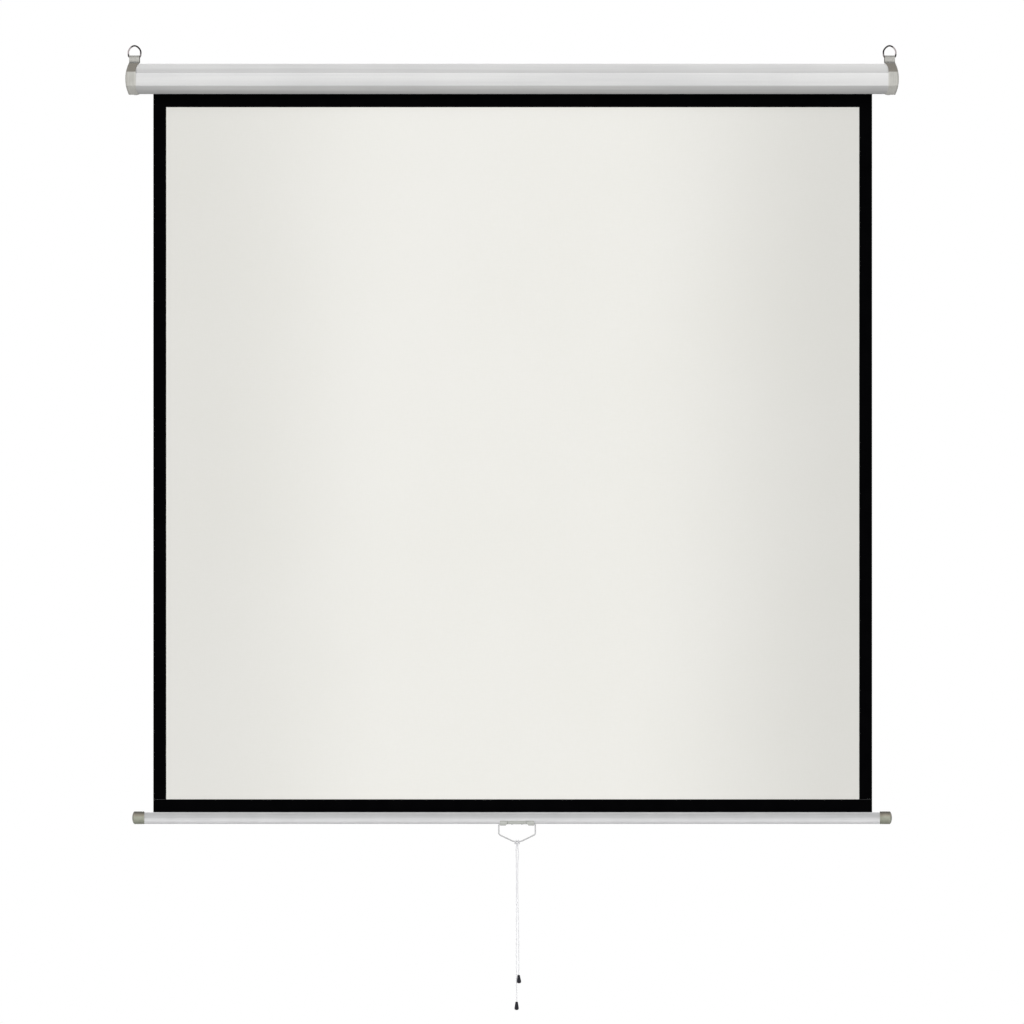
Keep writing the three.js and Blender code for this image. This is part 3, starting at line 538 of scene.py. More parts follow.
def bar_paint():
    finish = Finish("weight bar paint", Specular_IOR_Level=0.4)
    drawn = finish.noise(700, 3, (0.01, 1, 1))
    mottle = finish.noise(25, 4)
    tone = finish.band(drawn * 0.6 + mottle * 0.4, 0.35, 0.65)
    paint = finish.blend(tone, (219, 219, 220), (231, 231, 232))
    # Painted shade round the bar: darker above its middle, lightest a little below it
    around = finish.ramp(finish.height(BAR_AXIS.z), [
        (-12.6, 1.05), (-9.5, 1.3), (-7.5, 1.15), (-5, 1.07), (-3, 0.92), (-0.85, 0.78),
        (1.35, 0.635), (3.5, 0.6), (5.75, 0.58), (8, 0.615), (10.2, 0.635), (12.6, 0.77),
    ])
    finish.set(Base_Color=finish.shade(paint, around), Metallic=0.15, Roughness=0.42 + mottle * 0.1)
    finish.relief(drawn, 0.05)
    return finish


def bar_cap_plastic():
    finish = Finish("bar end cap", Specular_IOR_Level=0.4)
    flow = finish.noise(90, 4)
    tone = finish.band(flow, 0.35, 0.65)
    green = finish.blend(tone, (153, 155, 140), (165, 167, 152))
    # Painted reflection: a browner copy of the plastic for the cap's top
    painted_top_reflection = finish.blend(tone, (160, 154, 139), (172, 166, 151))
    height = finish.height(BAR_AXIS.z)
    paint = finish.blend(finish.band(height, 2.5, 5.5), green, painted_top_reflection)
    # Painted shade: darker towards the top
    painted_shade = finish.ramp(height, [
        (-14, 1), (-11.8, 0.95), (-9.6, 0.87), (-7.4, 0.94), (-5, 0.94), (-3, 0.98), (-0.8, 0.95),
        (1.4, 0.96), (3.6, 0.9), (5.8, 0.75), (8, 0.6), (10.2, 0.42), (12.4, 0.19), (14.6, 0.17),
    ])
    # Painted shade: darker on the domed end
    end = finish.band(finish.outwards(), 831.2, 834)
    finish.set(
        Base_Color=finish.blend(end * 0.75, finish.shade(paint, painted_shade), (88, 87, 78)),
        Metallic=0.12,
        Roughness=0.44 + flow * 0.12,
    )
    finish.relief(finish.noise(900, 2), 0.05)
    return finish


def bracket_paint():
    finish = Finish("bracket paint", Specular_IOR_Level=0.4)
    flow = finish.noise(70, 4, (0.4, 1, 1))
    paint = finish.blend(finish.band(flow, 0.35, 0.65), (224, 226, 220), (214, 216, 210))
    height = finish.height(BAR_AXIS.z)
    # Painted light and shade by height: one ramp for the barrels and a lighter one for the saddle
    # between them
    barrels = finish.ramp(height, [
        (-17, 0.9), (-16, 0.84), (-14, 0.69), (-11.8, 0.59), (-9.6, 0.68), (-7.4, 0.62), (-5, 0.62),
    ])
    middle = finish.ramp(height, [
        (-14, 1.25), (-11.8, 1.25), (-9.6, 1.05), (-7.4, 0.8), (-5, 0.78),
    ])
    between = finish.band(finish.outwards(HANDLE_X), BARREL_INNER_END - 0.2, BARREL_INNER_END - 1)
    finish.set(
        Base_Color=finish.blend(between, finish.shade(paint, barrels), finish.shade(paint, middle)),
        Metallic=0.1,
        Roughness=0.44 + flow * 0.1,
    )
    finish.relief(finish.noise(900, 2), 0.05)
    return finish


def bell_plastic():
    finish = Finish("black bell", Specular_IOR_Level=0.2)
    scuffs = finish.band(finish.noise(260, 6), 0.6, 0.72)
    finish.set(
        Base_Color=finish.blend(scuffs * 0.5, (27, 27, 34), (58, 58, 66)),
        Roughness=0.42 + scuffs * 0.2,
    )
    finish.relief(finish.noise(1200, 2), 0.04)
    return finish


def white_cord():
    """A braid: strands that cross as they wind round the cord."""
    finish = Finish("braided cord", Roughness=0.85, Specular_IOR_Level=0.15)
    along = finish.axis("X", "UV") * (2 * math.pi / BRAID_PITCH)
    around = finish.axis("Y", "UV") * (2 * math.pi * BRAID_STRANDS)
    braid = (along + around).sine().most((along - around).sine()) * 0.5 + 0.5
    grime = finish.noise(60, 4)
    clean = finish.blend(finish.band(braid, 0.1, 0.8), (237, 237, 241), (245, 245, 247))
    handled = finish.band(grime, 0.55, 0.8) * 0.4
    # Grime in patches, and greyer just above the knot
    wear_and_knot_grey = finish.band(finish.height(FOOT.z), KNOT_FOOT + 1.5, KNOT_FOOT + 3.5) * 0.25
    finish.set(Base_Color=finish.blend(handled.most(wear_and_knot_grey), clean, (190, 190, 191)))
    finish.relief(braid, 0.25)
    return finish


STEELS = {
    "zinc_fasteners": ("zinc plate", (176, 177, 178), (146, 147, 148), 0.8, 0.3, (1, 1, 1)),
    "bearing_steel": (
        "bearing plate steel", (178, 179, 180), (150, 151, 152), 0.9, 0.34, (1, 1, 0.05),
    ),
    "roller_steel": ("roller steel", (192, 194, 196), (166, 168, 170), 0.9, 0.28, (0.03, 1, 1)),
    "spring_steel": ("oiled spring steel", (112, 113, 116), (82, 83, 86), 0.9, 0.3, (0.3, 1, 1)),
}
FINISHES = {
    "case_paint": case_paint(),
    "cap_metal": cap_metal(),
    "strap_steel": strap_steel(),
    "ring_chrome": ring_chrome(),
    **{slot: machined_metal(*steel) for slot, steel in STEELS.items()},
    "nylon": moulded_plastic("nylon", (231, 229, 222), (219, 217, 208), 0.5),
    "black_plastic": moulded_plastic("black plastic", (36, 36, 40), (48, 48, 53), 0.42),
    "matte_white_cloth": matte_white_cloth(),
    "black_border": black_border(),
    "bar_paint": bar_paint(),
    "bar_cap_plastic": bar_cap_plastic(),
    "bracket_paint": bracket_paint(),
    "bail_wire": wire_metal("bright bail wire", (196, 196, 197), (176, 176, 177), 0.5, 0.3),
    "white_cord": white_cord(),
    "bell_plastic": bell_plastic(),
}


# Mesh making

def chain(mesh, points, closed=False):
    """Corners joined by edges in their order."""
    corners = [mesh.verts.new(point) for point in points]
    following = corners[1:] + corners[:1] if closed else corners[1:]
    return [mesh.edges.new(pair) for pair in zip(corners, following)]


def corners_of(made):
    return [part for part in made["geom"] if isinstance(part, bmesh.types.BMVert)]


def draw_out(mesh, section, start, end):
    """A section of (y, z) points drawn out along X."""
    edges = chain(mesh, [(start, y, z) for y, z in section])
    made = bmesh.ops.extrude_edge_only(mesh, edges=edges)
    bmesh.ops.translate(mesh, verts=corners_of(made), vec=(end - start, 0, 0))


def clean(mesh, nearest=0.001):
    bmesh.ops.remove_doubles(mesh, verts=mesh.verts, dist=nearest)
    bmesh.ops.recalc_face_normals(mesh, faces=mesh.faces)


def turn(mesh, profile, axis, sides):
    """A profile of (radius, height) points turned round an axis."""
    along = Vector(axis)
    out = Vector((0, 0, 1)) if abs(along.z) < 0.5 else Vector((1, 0, 0))
    chain(mesh, [out * radius + along * height for radius, height in profile])
    bmesh.ops.spin(
        mesh, geom=mesh.verts[:] + mesh.edges[:], cent=(0, 0, 0), axis=along, angle=2 * math.pi,
        steps=sides, use_merge=True, use_duplicate=False,
    )
    clean(mesh)


def folds(mesh, least, most=180):
    """Edges whose two faces meet at an angle between these."""
    low, high = math.radians(least), math.radians(most)
    return [e for e in mesh.edges if len(e.link_faces) == 2 and low < e.calc_face_angle() < high]


def round_off(mesh, parts, width, segments=3, affect="EDGES"):
    bmesh.ops.bevel(
        mesh, geom=parts, offset=width, offset_type="OFFSET", affect=affect, segments=segments,
        profile=0.5, material=-1, clamp_overlap=True,
    )


def face_outwards(mesh, axis):
    """Turns every face away from an axis along X."""
    for face in mesh.faces:
        outside = face.calc_center_median() - axis
        outside.x = 0
        if face.normal.dot(outside) < 0:
            face.normal_flip()


def rotate(mesh, matrix):
    bmesh.ops.rotate(mesh, verts=mesh.verts, matrix=matrix)


def slice_across(mesh, place, way):
    parts = mesh.verts[:] + mesh.edges[:] + mesh.faces[:]
    bmesh.ops.bisect_plane(mesh, geom=parts, plane_co=place, plane_no=way)


def wall(mesh, thickness):
    """Gives an open shell its wall, on the backs of its faces."""
    bmesh.ops.solidify(mesh, geom=mesh.faces[:], thickness=thickness)


def arc(radius, start, end, steps):
    """Points round the origin from one angle to another, in radians from the first axis."""
    angles = [start + (end - start) * i / steps for i in range(steps + 1)]
    return [(radius * math.cos(angle), radius * math.sin(angle)) for angle in angles]


def finished_mesh(piece):
    """The piece's mesh with its modifiers worked in."""
    state = bpy.context.evaluated_depsgraph_get()
    return bpy.data.meshes.new_from_object(piece.evaluated_get(state))


def dress(piece, slot, body, stands_for, crease=35):
    """Shades a piece, gives it its finish and puts it on its body."""
    piece.data.shade_smooth()
    if crease:
        piece.data.set_sharp_from_angle(angle=math.radians(crease))
        piece.modifiers.new("flat faces", "WEIGHTED_NORMAL").keep_sharp = True
    piece.data.materials.clear()
    piece.data.materials.append(FINISHES[slot].material)
    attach(piece, body)
    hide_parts(*stands_for)
    return piece


def add(name, data):
    piece = bpy.data.objects.new(name, data)
    bpy.context.scene.collection.objects.link(piece)
    return piece


def settle(mesh, name, at):
    """Moves a mesh to its place, in metres, and makes it an object."""
    bmesh.ops.translate(mesh, verts=mesh.verts, vec=at)
    bmesh.ops.scale(mesh, verts=mesh.verts, vec=(MM, MM, MM))
    data = bpy.data.meshes.new(name)
    mesh.to_mesh(data)
    mesh.free()
    return add(name, data)


def put(mesh, name, at, slot, body, stands_for, crease=35):
    return dress(settle(mesh, name, at), slot, body, stands_for, crease)


def pierce(piece, mesh, at):
    """Cuts a shape out of a piece."""
    tool = settle(mesh, "cutter", at)
    hole = piece.modifiers.new("hole", "BOOLEAN")
    hole.solver = "EXACT"
    hole.object = tool
    piece.data = finished_mesh(piece)
    piece.modifiers.clear()
    bpy.data.objects.remove(tool)


def wire(name, points, diameter, closed=False, steps=12, sides=4):
    """A round wire through (point, left handle, right handle) rows, or through plain points.

    Its UV map runs along it in millimetres, and round it from 0 to 1.
    """
    curve = bpy.data.curves.new(name, "CURVE")
    curve.dimensions = "3D"
    curve.bevel_depth = diameter / 2 * MM
    curve.bevel_resolution = sides
    curve.resolution_u = steps
    curve.use_fill_caps = not closed
    line = curve.splines.new("BEZIER")
    line.bezier_points.add(len(points) - 1)
    line.use_cyclic_u = closed
    for knot, row in zip(line.bezier_points, points):
        shaped = isinstance(row[0], Vector)
        knot.handle_left_type = knot.handle_right_type = "FREE" if shaped else "AUTO"
        if shaped:
            knot.co, knot.handle_left, knot.handle_right = (place * MM for place in row)
        else:
            knot.co = Vector(row) * MM
    drawn = add(name + "_line", curve)
    data = finished_mesh(drawn)
    run = line.calc_length() / MM
    for corner in data.uv_layers.active.data:
        corner.uv.x *= run
    bpy.data.objects.remove(drawn)
    tube = bmesh.new()
    tube.from_mesh(data)
    clean(tube, 0.001 * MM)
    tube.to_mesh(data)
    tube.free()
    data.name = name
    return add(name, data)


# Camera

def camera():
    lens = bpy.data.cameras.new("front")
    lens.sensor_width = 36
    lens.lens = lens.sensor_width * EYE_DISTANCE / VIEW_WIDTH
    lens.clip_end = FAR_LIMIT
    eye = add("front", lens)
    eye.location = VIEW_MIDDLE - Vector((0, EYE_DISTANCE, 0))
    eye.rotation_euler = (math.pi / 2, 0, 0)
    bpy.context.scene.camera = eye


camera()


# Pull cord: two tails from a hitch on the bail, each with its bell

def bell(name, at, lean, node):
    """A turned bell with a bore for the cord. It may lean away from the other tail."""
    mesh = bmesh.new()
    shares = [
        (0.4, 0.006), (0.45, 0.02), (0.57, 0.06), (0.64, 0.15), (0.71, 0.27), (0.77, 0.38),
        (0.86, 0.51), (0.94, 0.64), (0.98, 0.71), (1, 0.77), (0.995, 0.815), (0.96, 0.86),
        (0.85, 0.92), (0.7, 0.95), (0.33, 0.99), (0, 1),
    ]
    bore = CORD / 2 + CORD_PLAY
    floor = -CORD_IN_BELL - 0.6
    profile = [(0, floor), (bore, floor), (bore, -0.25), (bore + 0.2, 0)]
    profile += [(share * BELL_RADIUS, -height * BELL_LENGTH) for share, height in shares]
    turn(mesh, profile, (0, 0, 1), 40)
    rotate(mesh, lean)
    return put(mesh, name, at, "bell_plastic", "pull_cord", [node], crease=50)


def hitch():
    """The doubled cord laid round the bail's foot, with its knot below."""
    round_wire = BAIL_WIRE / 2 + CORD / 2 + CORD_PLAY
    left = [
        (-0.7, 0.3, -8.6), (-1.2, 0.6, -7.4), (-2.0, 1.7, -5.4), (-2.5, 2.6, -2.4),
        (-2.6, 2.3, 1.4), (-2.7, 0, round_wire), (-3.3, -2.3, 1.4), (-4, -round_wire, -0.4),
        (-4.5, -2.2, -2.6), (-4.7, -0.2, -3.9), (-4.2, 2.5, -4.6), (-2.6, 4.3, -5), (-1, 4.7, -5.1),
    ]
    right = [(-x, y, z) for x, y, z in reversed(left)]
    loop = wire("cord_loop", left + right, CORD, steps=8)
    wide, deep, tall = KNOT_SIZE
    coil = []
    for i in range(KNOT_STEPS + 1):
        share = i / KNOT_STEPS
        angle = 2 * math.pi * KNOT_TURNS * share
        coil.append((wide * math.sin(angle), deep * math.cos(angle), KNOT_TOP - tall * share))
    knot = wire("cord_knot", coil, CORD * 0.9, steps=3)
    mesh = bmesh.new()
    mesh.from_mesh(loop.data)
    mesh.from_mesh(knot.data)
    bmesh.ops.scale(mesh, verts=mesh.verts, vec=(1 / MM, 1 / MM, 1 / MM))
    for used in (loop, knot):
        bpy.data.objects.remove(used)
    return put(mesh, "hitch_and_knot", FOOT, "white_cord", "pull_cord", ["cord_hitch"], crease=None)


def cord(side, lean, knotted):
    route, length = CORD_ROUTES[side], CORD_LENGTHS[side]
    lean = Matrix.Rotation(-lean, 3, "Y")
    end = Vector(route[-1])
    in_knot = (route[0][0] * 0.6, 0.2, KNOT_FOOT)
    in_bell = end + lean @ Vector((0, 0, -BELL_DROP - CORD_IN_BELL))
    path = [Vector(point) + FOOT for point in [in_knot, *route, in_bell]]
    tail = wire(f"cord_tail_{side}", [tuple(point) for point in path], CORD, steps=6)
    dress(tail, "white_cord", "pull_cord", [f"cord_{side}"], crease=None)
    at = end + FOOT + lean @ Vector((0, 0, -BELL_DROP))
    pieces = [bell(f"bell_{side}", at, lean, f"cord_bell_{side}"), *knotted]


cord("left", 0, [hitch()])
cord("right", BELL_LEAN, [])


# Case and caps

def octagon(grow=0.0):
    """The case's section, anticlockwise from the bottom face's back edge."""
    flat = CASE_FACE + grow * math.tan(math.pi / 8)
    reach = CASE_REACH + grow
    return [
        (flat, -reach), (reach, -flat), (reach, flat), (flat, reach),
        (-flat, reach), (-reach, flat), (-reach, -flat), (-flat, -reach),
    ]


def case_shell():
    mesh = bmesh.new()
    lip = LIP - CASE_REACH
    corners = octagon()
    corners[5:7] = [(-CASE_REACH, height) for height in CASE_FOLDS]
    section = [(SLOT_BACK, lip), (SLOT_BACK, -CASE_REACH), *corners]
    section += [(SLOT_FRONT, -CASE_REACH), (SLOT_FRONT, lip)]
    draw_out(mesh, section, CASE_HALF, -CASE_HALF)
    round_off(mesh, folds(mesh, 60), SLOT_BEND, 4)
    round_off(mesh, folds(mesh, 40, 50), CASE_BEND, 4)
    wall(mesh, CASE_STEEL)
    put(mesh, "case_body", CASE_AXIS, "case_paint", "case", ["case_shell"])


def dome_end(height):
    """How far out the cap's end reaches at a height from the case's axis."""
    radius = (CAP_REACH ** 2 + CAP_DOME ** 2) / (2 * CAP_DOME)
    return CAP_END - radius + math.sqrt(radius ** 2 - height ** 2)


def end_cap(name, side):
    """A cap with a domed end, whose rim curves further in at the top and bottom."""
    mesh = bmesh.new()
    corners = octagon(CAP_GROW)
    bend = min(abs(z) for y, z in corners)
    rim = []
    for here, there in zip(corners, corners[1:] + corners[:1]):
        pieces = RIM_PIECES if abs(here[1]) != abs(there[1]) else 1
        for i in range(pieces):
            y, z = (start + (end - start) * i / pieces for start, end in zip(here, there))
            climb = max(0, (abs(z) - bend) / (CAP_REACH - bend))
            rim.append((side * (CAP_RIM - CAP_SLANT * climb ** 3), y, z))
    made = bmesh.ops.extrude_edge_only(mesh, edges=chain(mesh, rim, True))
    for corner in corners_of(made):
        corner.co.x = side * CAP_END
    ends = [edge for edge in mesh.edges if all(abs(v.co.x) > CAP_RIM + 1 for v in edge.verts)]
    bmesh.ops.contextual_create(mesh, geom=ends)
    for i in range(1, CAP_SLICES):
        slice_across(mesh, (0, 0, CAP_REACH * (2 * i / CAP_SLICES - 1)), (0, 0, 1))
    for corner in mesh.verts:
        if abs(corner.co.x) > CAP_END - 0.5:
            corner.co.x = side * dome_end(corner.co.z)
    clean(mesh)
    round_off(mesh, folds(mesh, 30), CAP_BEND)
    wall(mesh, CAP_WALL)
    cap = settle(mesh, f"cap_{name}", CASE_AXIS)
    cutter = bmesh.new()
    turn(cutter, REAR_POCKET, (0, 1, 0), SCREW_SIDES)
    pierce(cap, cutter, CASE_AXIS + Vector((side * REAR_SCREW_X, CAP_REACH, 0)))
    dress(cap, "cap_metal", "case", [f"end_cap_{name}"])


def screw(name, at, turned, profile, recess_size, body, node):
    """A screw with a cross recess. Its head is upwards, and then turned to face its own way."""
    mesh = bmesh.new()
    turn(mesh, profile, (0, 0, 1), SCREW_SIDES)
    rotate(mesh, Matrix.Rotation(math.pi / SCREW_SIDES, 3, "Z"))
    top = max(corner.co.z for corner in mesh.verts)
    arm, reach, depth = recess_size
    recess = []
    for face in mesh.faces:
        middle = face.calc_center_median()
        near = min(abs(middle.x), abs(middle.y)) < arm
        if middle.z > top - 0.02 and middle.xy.length < reach and near:
            recess.append(face)
    bmesh.ops.inset_region(
        mesh, faces=recess, thickness=arm * 0.25, depth=-depth, use_even_offset=True,
    )
    rotate(mesh, turned)
    return put(mesh, name, at, "zinc_fasteners", body, [node], crease=40)


def pan_head(radius, height, shank, length):
    """A low domed head above the origin, with rings for its recess, and a shank below."""
    head = [(1, 0), (1, 0.35), (0.96, 0.66), (0.84, 0.9)]
    head += [(share, 1) for share in (0.62, 0.5, 0.38, 0.26, 0.13, 0)]
    dome = [(out * radius, up * height) for out, up in head]
    return [(0, -length), (shank, -length), (shank, 0), *dome]


def cap_screws(name, side):
    lower = CASE_AXIS + Vector((side * LOWER_SCREW[0], LOWER_SCREW[1], -CAP_REACH - 0.03))
    screw(
        f"cap_screw_{name}_under", lower, DOWN, pan_head(*CAP_SCREW), CAP_RECESS,
        "case", f"cap_screw_{name}_lower",
    )
    sunk = [(0, -6), (1.6, -6), (1.6, -1.3), (SUNK_HEAD, -0.12), (SUNK_HEAD - 0.1, -0.02)]
    sunk += [(share * SUNK_HEAD, 0) for share in (0.9, 0.6, 0.48, 0.36, 0.24, 0.12, 0)]
    rear = CASE_AXIS + Vector((side * REAR_SCREW_X, CAP_REACH - 0.05, 0))
    screw(f"cap_screw_{name}_back", rear, BACK, sunk, SUNK_RECESS, "case", f"cap_screw_{name}_rear")


def strap(name, side):
    """A strip folded over the ring's bar, with a foot to the front and one to the back."""
    mesh = bmesh.new()
    foot = STRAP_STEEL - STRAP_STAND
    section = [(-STRAP_FOOT, foot), (-STRAP_FOLD, foot), *arc(STRAP_FOLD, math.pi, 0, 14)]
    section += [(STRAP_FOLD, foot), (STRAP_FOOT, foot)]
    draw_out(mesh, section, -STRAP_HALF, STRAP_HALF)
    bends = [edge for edge in folds(mesh, 80) if abs(edge.verts[0].co.z - foot) < 0.01]
    round_off(mesh, bends, STRAP_BEND, 4)
    tips = [corner for corner in mesh.verts if abs(corner.co.y) > STRAP_FOOT - 0.01]
    round_off(mesh, tips, STRAP_CORNER, 5, "VERTICES")
    wall(mesh, STRAP_STEEL)
    round_off(mesh, folds(mesh, 60), SHEET_EDGE, 2)
    at = Vector((side * RING_X, 0, RING_BAR_Z))
    put(mesh, f"strap_{name}", at, "strap_steel", "case", [f"hanger_tab_{name}"])


def strap_rivets(name, side):
    """Rivets through the strap's feet, with domed heads and flat tails."""
    radius, height = RIVET_HEAD
    dome = [(radius * out, height * up) for out, up in arc(1, 0, math.pi / 2, 7)[:-1]]
    wide, thick = RIVET_TAIL
    tail = -STRAP_STEEL - CAP_GROW - CASE_STEEL - 0.1
    profile = [(0, tail - thick), (wide - 0.2, tail - thick), (wide, tail - 0.5), (wide, tail)]
    profile += [(RIVET_SHANK, tail), (RIVET_SHANK, 0), *dome, (0, height)]
    for place, way in (("front", -1), ("rear", 1)):
        mesh = bmesh.new()
        turn(mesh, profile, (0, 0, 1), 28)
        at = Vector((side * RING_X, way * RIVET_Y, RING_BAR_Z + STRAP_STEEL - STRAP_STAND + 0.02))
        node = f"tab_rivet_{name}_{place}"
        put(mesh, f"rivet_{name}_{place}", at, "zinc_fasteners", "case", [node], crease=50)


def ring(name, side):
    """A wire ring: a straight bar, two tight corners and a pointed bow."""
    def at(across, up):
        return Vector((side * RING_X + across * RING_HALF, 0, RING_BAR_Z + up * RING_HEIGHT))

    rows = [tuple(at(*share) for share in row) for row in RING_ROWS]
    loop = wire(f"ring_loop_{name}", rows, RING_WIRE, closed=True, steps=14, sides=5)
    dress(loop, "ring_chrome", f"ring_{name}", [f"hanging_ring_{name}"], crease=None)


case_shell()
for label, way in SIDES:
    end_cap(label, way)
    cap_screws(label, way)
    strap(label, way)
    strap_rivets(label, way)
    ring(label, way)


# Cloth, its printed border and what is left of it on the roller

def sway(x, z):
    """How far the hanging cloth stands out of its plane: nothing at its top and foot."""
    down = (CLOTH_TOP - z) / (CLOTH_TOP - CLOTH_FOOT)
    hold = math.sin(math.pi * min(max(down, 0), 1))
    return hold * (0.17 * math.sin(x / 173 + 0.6) + 0.1 * math.sin(x / 71 - z / 640 + 2.1))


def hung_sheet(front, thickness, opening=None):
    """A hanging sheet from its top to its foot, with an opening cut to its exact lines."""
    mesh = bmesh.new()
    across, down = CLOTH_CELLS
    bmesh.ops.create_grid(mesh, x_segments=across, y_segments=down, size=1)
    rotate(mesh, STAND)
    tall = (CLOTH_TOP - CLOTH_FOOT) / 2
    bmesh.ops.scale(mesh, verts=mesh.verts, vec=(CLOTH_HALF, 1, tall))
    bmesh.ops.translate(mesh, verts=mesh.verts, vec=(0, front, CLOTH_FOOT + tall))
    if opening:
        half, top = opening
        slice_across(mesh, (-half, 0, 0), (1, 0, 0))
        slice_across(mesh, (half, 0, 0), (1, 0, 0))
        slice_across(mesh, (0, 0, top), (0, 0, 1))
        middles = [(face, face.calc_center_median()) for face in mesh.faces]
        inside = [face for face, at in middles if abs(at.x) < half and at.z < top]
        bmesh.ops.delete(mesh, geom=inside, context="FACES")
    for corner in mesh.verts:
        corner.co.y += sway(corner.co.x, corner.co.z)
    if mesh.faces[:][0].normal.y > 0:
        bmesh.ops.reverse_faces(mesh, faces=mesh.faces[:])
    wall(mesh, thickness)
    return mesh


def roll():
    """The turns of cloth left on the roller, wound as a spiral."""
    mesh = bmesh.new()
    steps = WRAP_STEPS * WRAP_TURNS
    section = []
    for i in range(steps + 1):
        share = i / steps
        angle = math.pi / 2 - 2 * math.pi * WRAP_TURNS * share
        radius = WRAP_INSIDE + CLOTH - 0.01 + (WRAP_TURNS - 1) * CLOTH * share
        section.append((radius * math.cos(angle), radius * math.sin(angle)))
    draw_out(mesh, section, -CLOTH_HALF, CLOTH_HALF)
    wall(mesh, CLOTH - WRAP_GAP)
    return put(
        mesh, "cloth_on_roller", ROLLER_AXIS + CLOTH_AT, "matte_white_cloth", "roller",
        ["fabric_wraps"], crease=50,
    )


def cloth():
    hanging = put(
        hung_sheet(CLOTH_FRONT, CLOTH), "cloth", CLOTH_AT, "matte_white_cloth", "case",
        ["screen_fabric"], crease=50,
    )
    border = put(
        hung_sheet(INK_FRONT, INK, (PICTURE_HALF, PICTURE_TOP)), "cloth_border", CLOTH_AT,
        "black_border", "case", ["border_mask"], crease=50,
    )
    for piece in (hanging, border):
        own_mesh(piece)
    return hanging, border


def hem():
    """The black strip: one layer down the front, round the rod and up the back."""
    mesh = bmesh.new()
    top = CLOTH_FOOT - BAR_AXIS.z - 0.05
    lean = math.asin(HEM_HALF / HEM_RADIUS)
    loop = arc(HEM_RADIUS, math.pi / 2 + lean, 2.5 * math.pi - lean, 28)
    section = [(-HEM_HALF, top), (-HEM_HALF, top - HEM_ROW), *[(y, z + HEM_Z) for y, z in loop]]
    section += [(HEM_HALF, top - HEM_ROW), (HEM_HALF, top)]
    draw_out(mesh, section, -CLOTH_HALF, CLOTH_HALF)
    wall(mesh, HEM_LAYER)
    at = BAR_AXIS + CLOTH_AT
    return put(mesh, "hem_strip", at, "black_border", "weight_bar", ["bottom_hem"], crease=50)


def spring():
    """The torsion spring: one turn of round wire, doubled until it fills its length."""
    mesh = bmesh.new()
    bmesh.ops.create_circle(mesh, segments=8, radius=SPRING_WIRE / 2)
    rotate(mesh, STAND)
    start = SPRING_FROM + SPRING_WIRE / 2
    bmesh.ops.translate(mesh, verts=mesh.verts, vec=(start, 0, SPRING_MIDDLE))
    pitch = (SPRING_TO - SPRING_FROM - SPRING_WIRE) / 2 ** SPRING_DOUBLINGS
    bmesh.ops.spin(
        mesh, geom=mesh.edges[:], cent=(0, 0, 0), axis=(1, 0, 0), dvec=(pitch / SPRING_STEPS, 0, 0),
        angle=2 * math.pi, steps=SPRING_STEPS, use_duplicate=False,
    )
    for doubling in range(SPRING_DOUBLINGS):
        made = bmesh.ops.duplicate(mesh, geom=mesh.verts[:] + mesh.edges[:] + mesh.faces[:])
        bmesh.ops.translate(mesh, verts=corners_of(made), vec=(pitch * 2 ** doubling, 0, 0))
    bmesh.ops.remove_doubles(mesh, verts=mesh.verts, dist=0.001)
    bmesh.ops.holes_fill(mesh, edges=mesh.edges)
    clean(mesh)
    put(mesh, "wound_spring", ROLLER_AXIS, "spring_steel", "case", ["torsion_spring"], crease=60)


spring()
wound = roll()
screen, border = cloth()
strip = hem()


# Weight bar

def bar():
    mesh = bmesh.new()
    neck = math.acos(NECK_HALF / BAR_RADIUS)
    section = [(SLOT_HALF, NECK_TOP), (NECK_HALF, NECK_TOP)]
    section += arc(BAR_RADIUS, neck, -math.pi - neck, 44)
    section += [(-NECK_HALF, NECK_TOP), (-SLOT_HALF, NECK_TOP)]
    draw_out(mesh, section, -BAR_HALF, BAR_HALF)
    round_off(mesh, folds(mesh, 70), BAR_BEND)
    wall(mesh, BAR_WALL)
    put(mesh, "weight_tube", BAR_AXIS, "bar_paint", "weight_bar", ["bottom_bar"])


def bar_cap(name, side):
    """An end plug with a shadow groove behind its collar and a domed end."""
    mesh = bmesh.new()
    start, radius = BAR_CAP_START, BAR_CAP_RADIUS
    plug = start - PLUG_LENGTH
    tip, full = PLUG_RADII
    profile = [(0, plug), (tip, plug), (full, plug + 1), (full, start)]
    profile += [(radius + out, start + along) for out, along in BAR_CAP_COLLAR]
    dome = BAR_HALF + BAR_CAP_LENGTH - BAR_CAP_DOME
    profile.append((radius, dome - 1))
    profile += [(share * radius, dome + out * BAR_CAP_DOME) for share, out in BAR_CAP_SHARES]
    turn(mesh, profile, (side, 0, 0), 56)
    for corner in mesh.verts:
        if abs(corner.co.x) > start - 0.01:
            corner.co.z += BAR_CAP_LIFT
    node = f"bar_cap_{name}"
    put(mesh, f"tube_cap_{name}", BAR_AXIS, "bar_cap_plastic", "weight_bar", [node], crease=40)


bar()
for label, way in SIDES:
    bar_cap(label, way)


# Handle

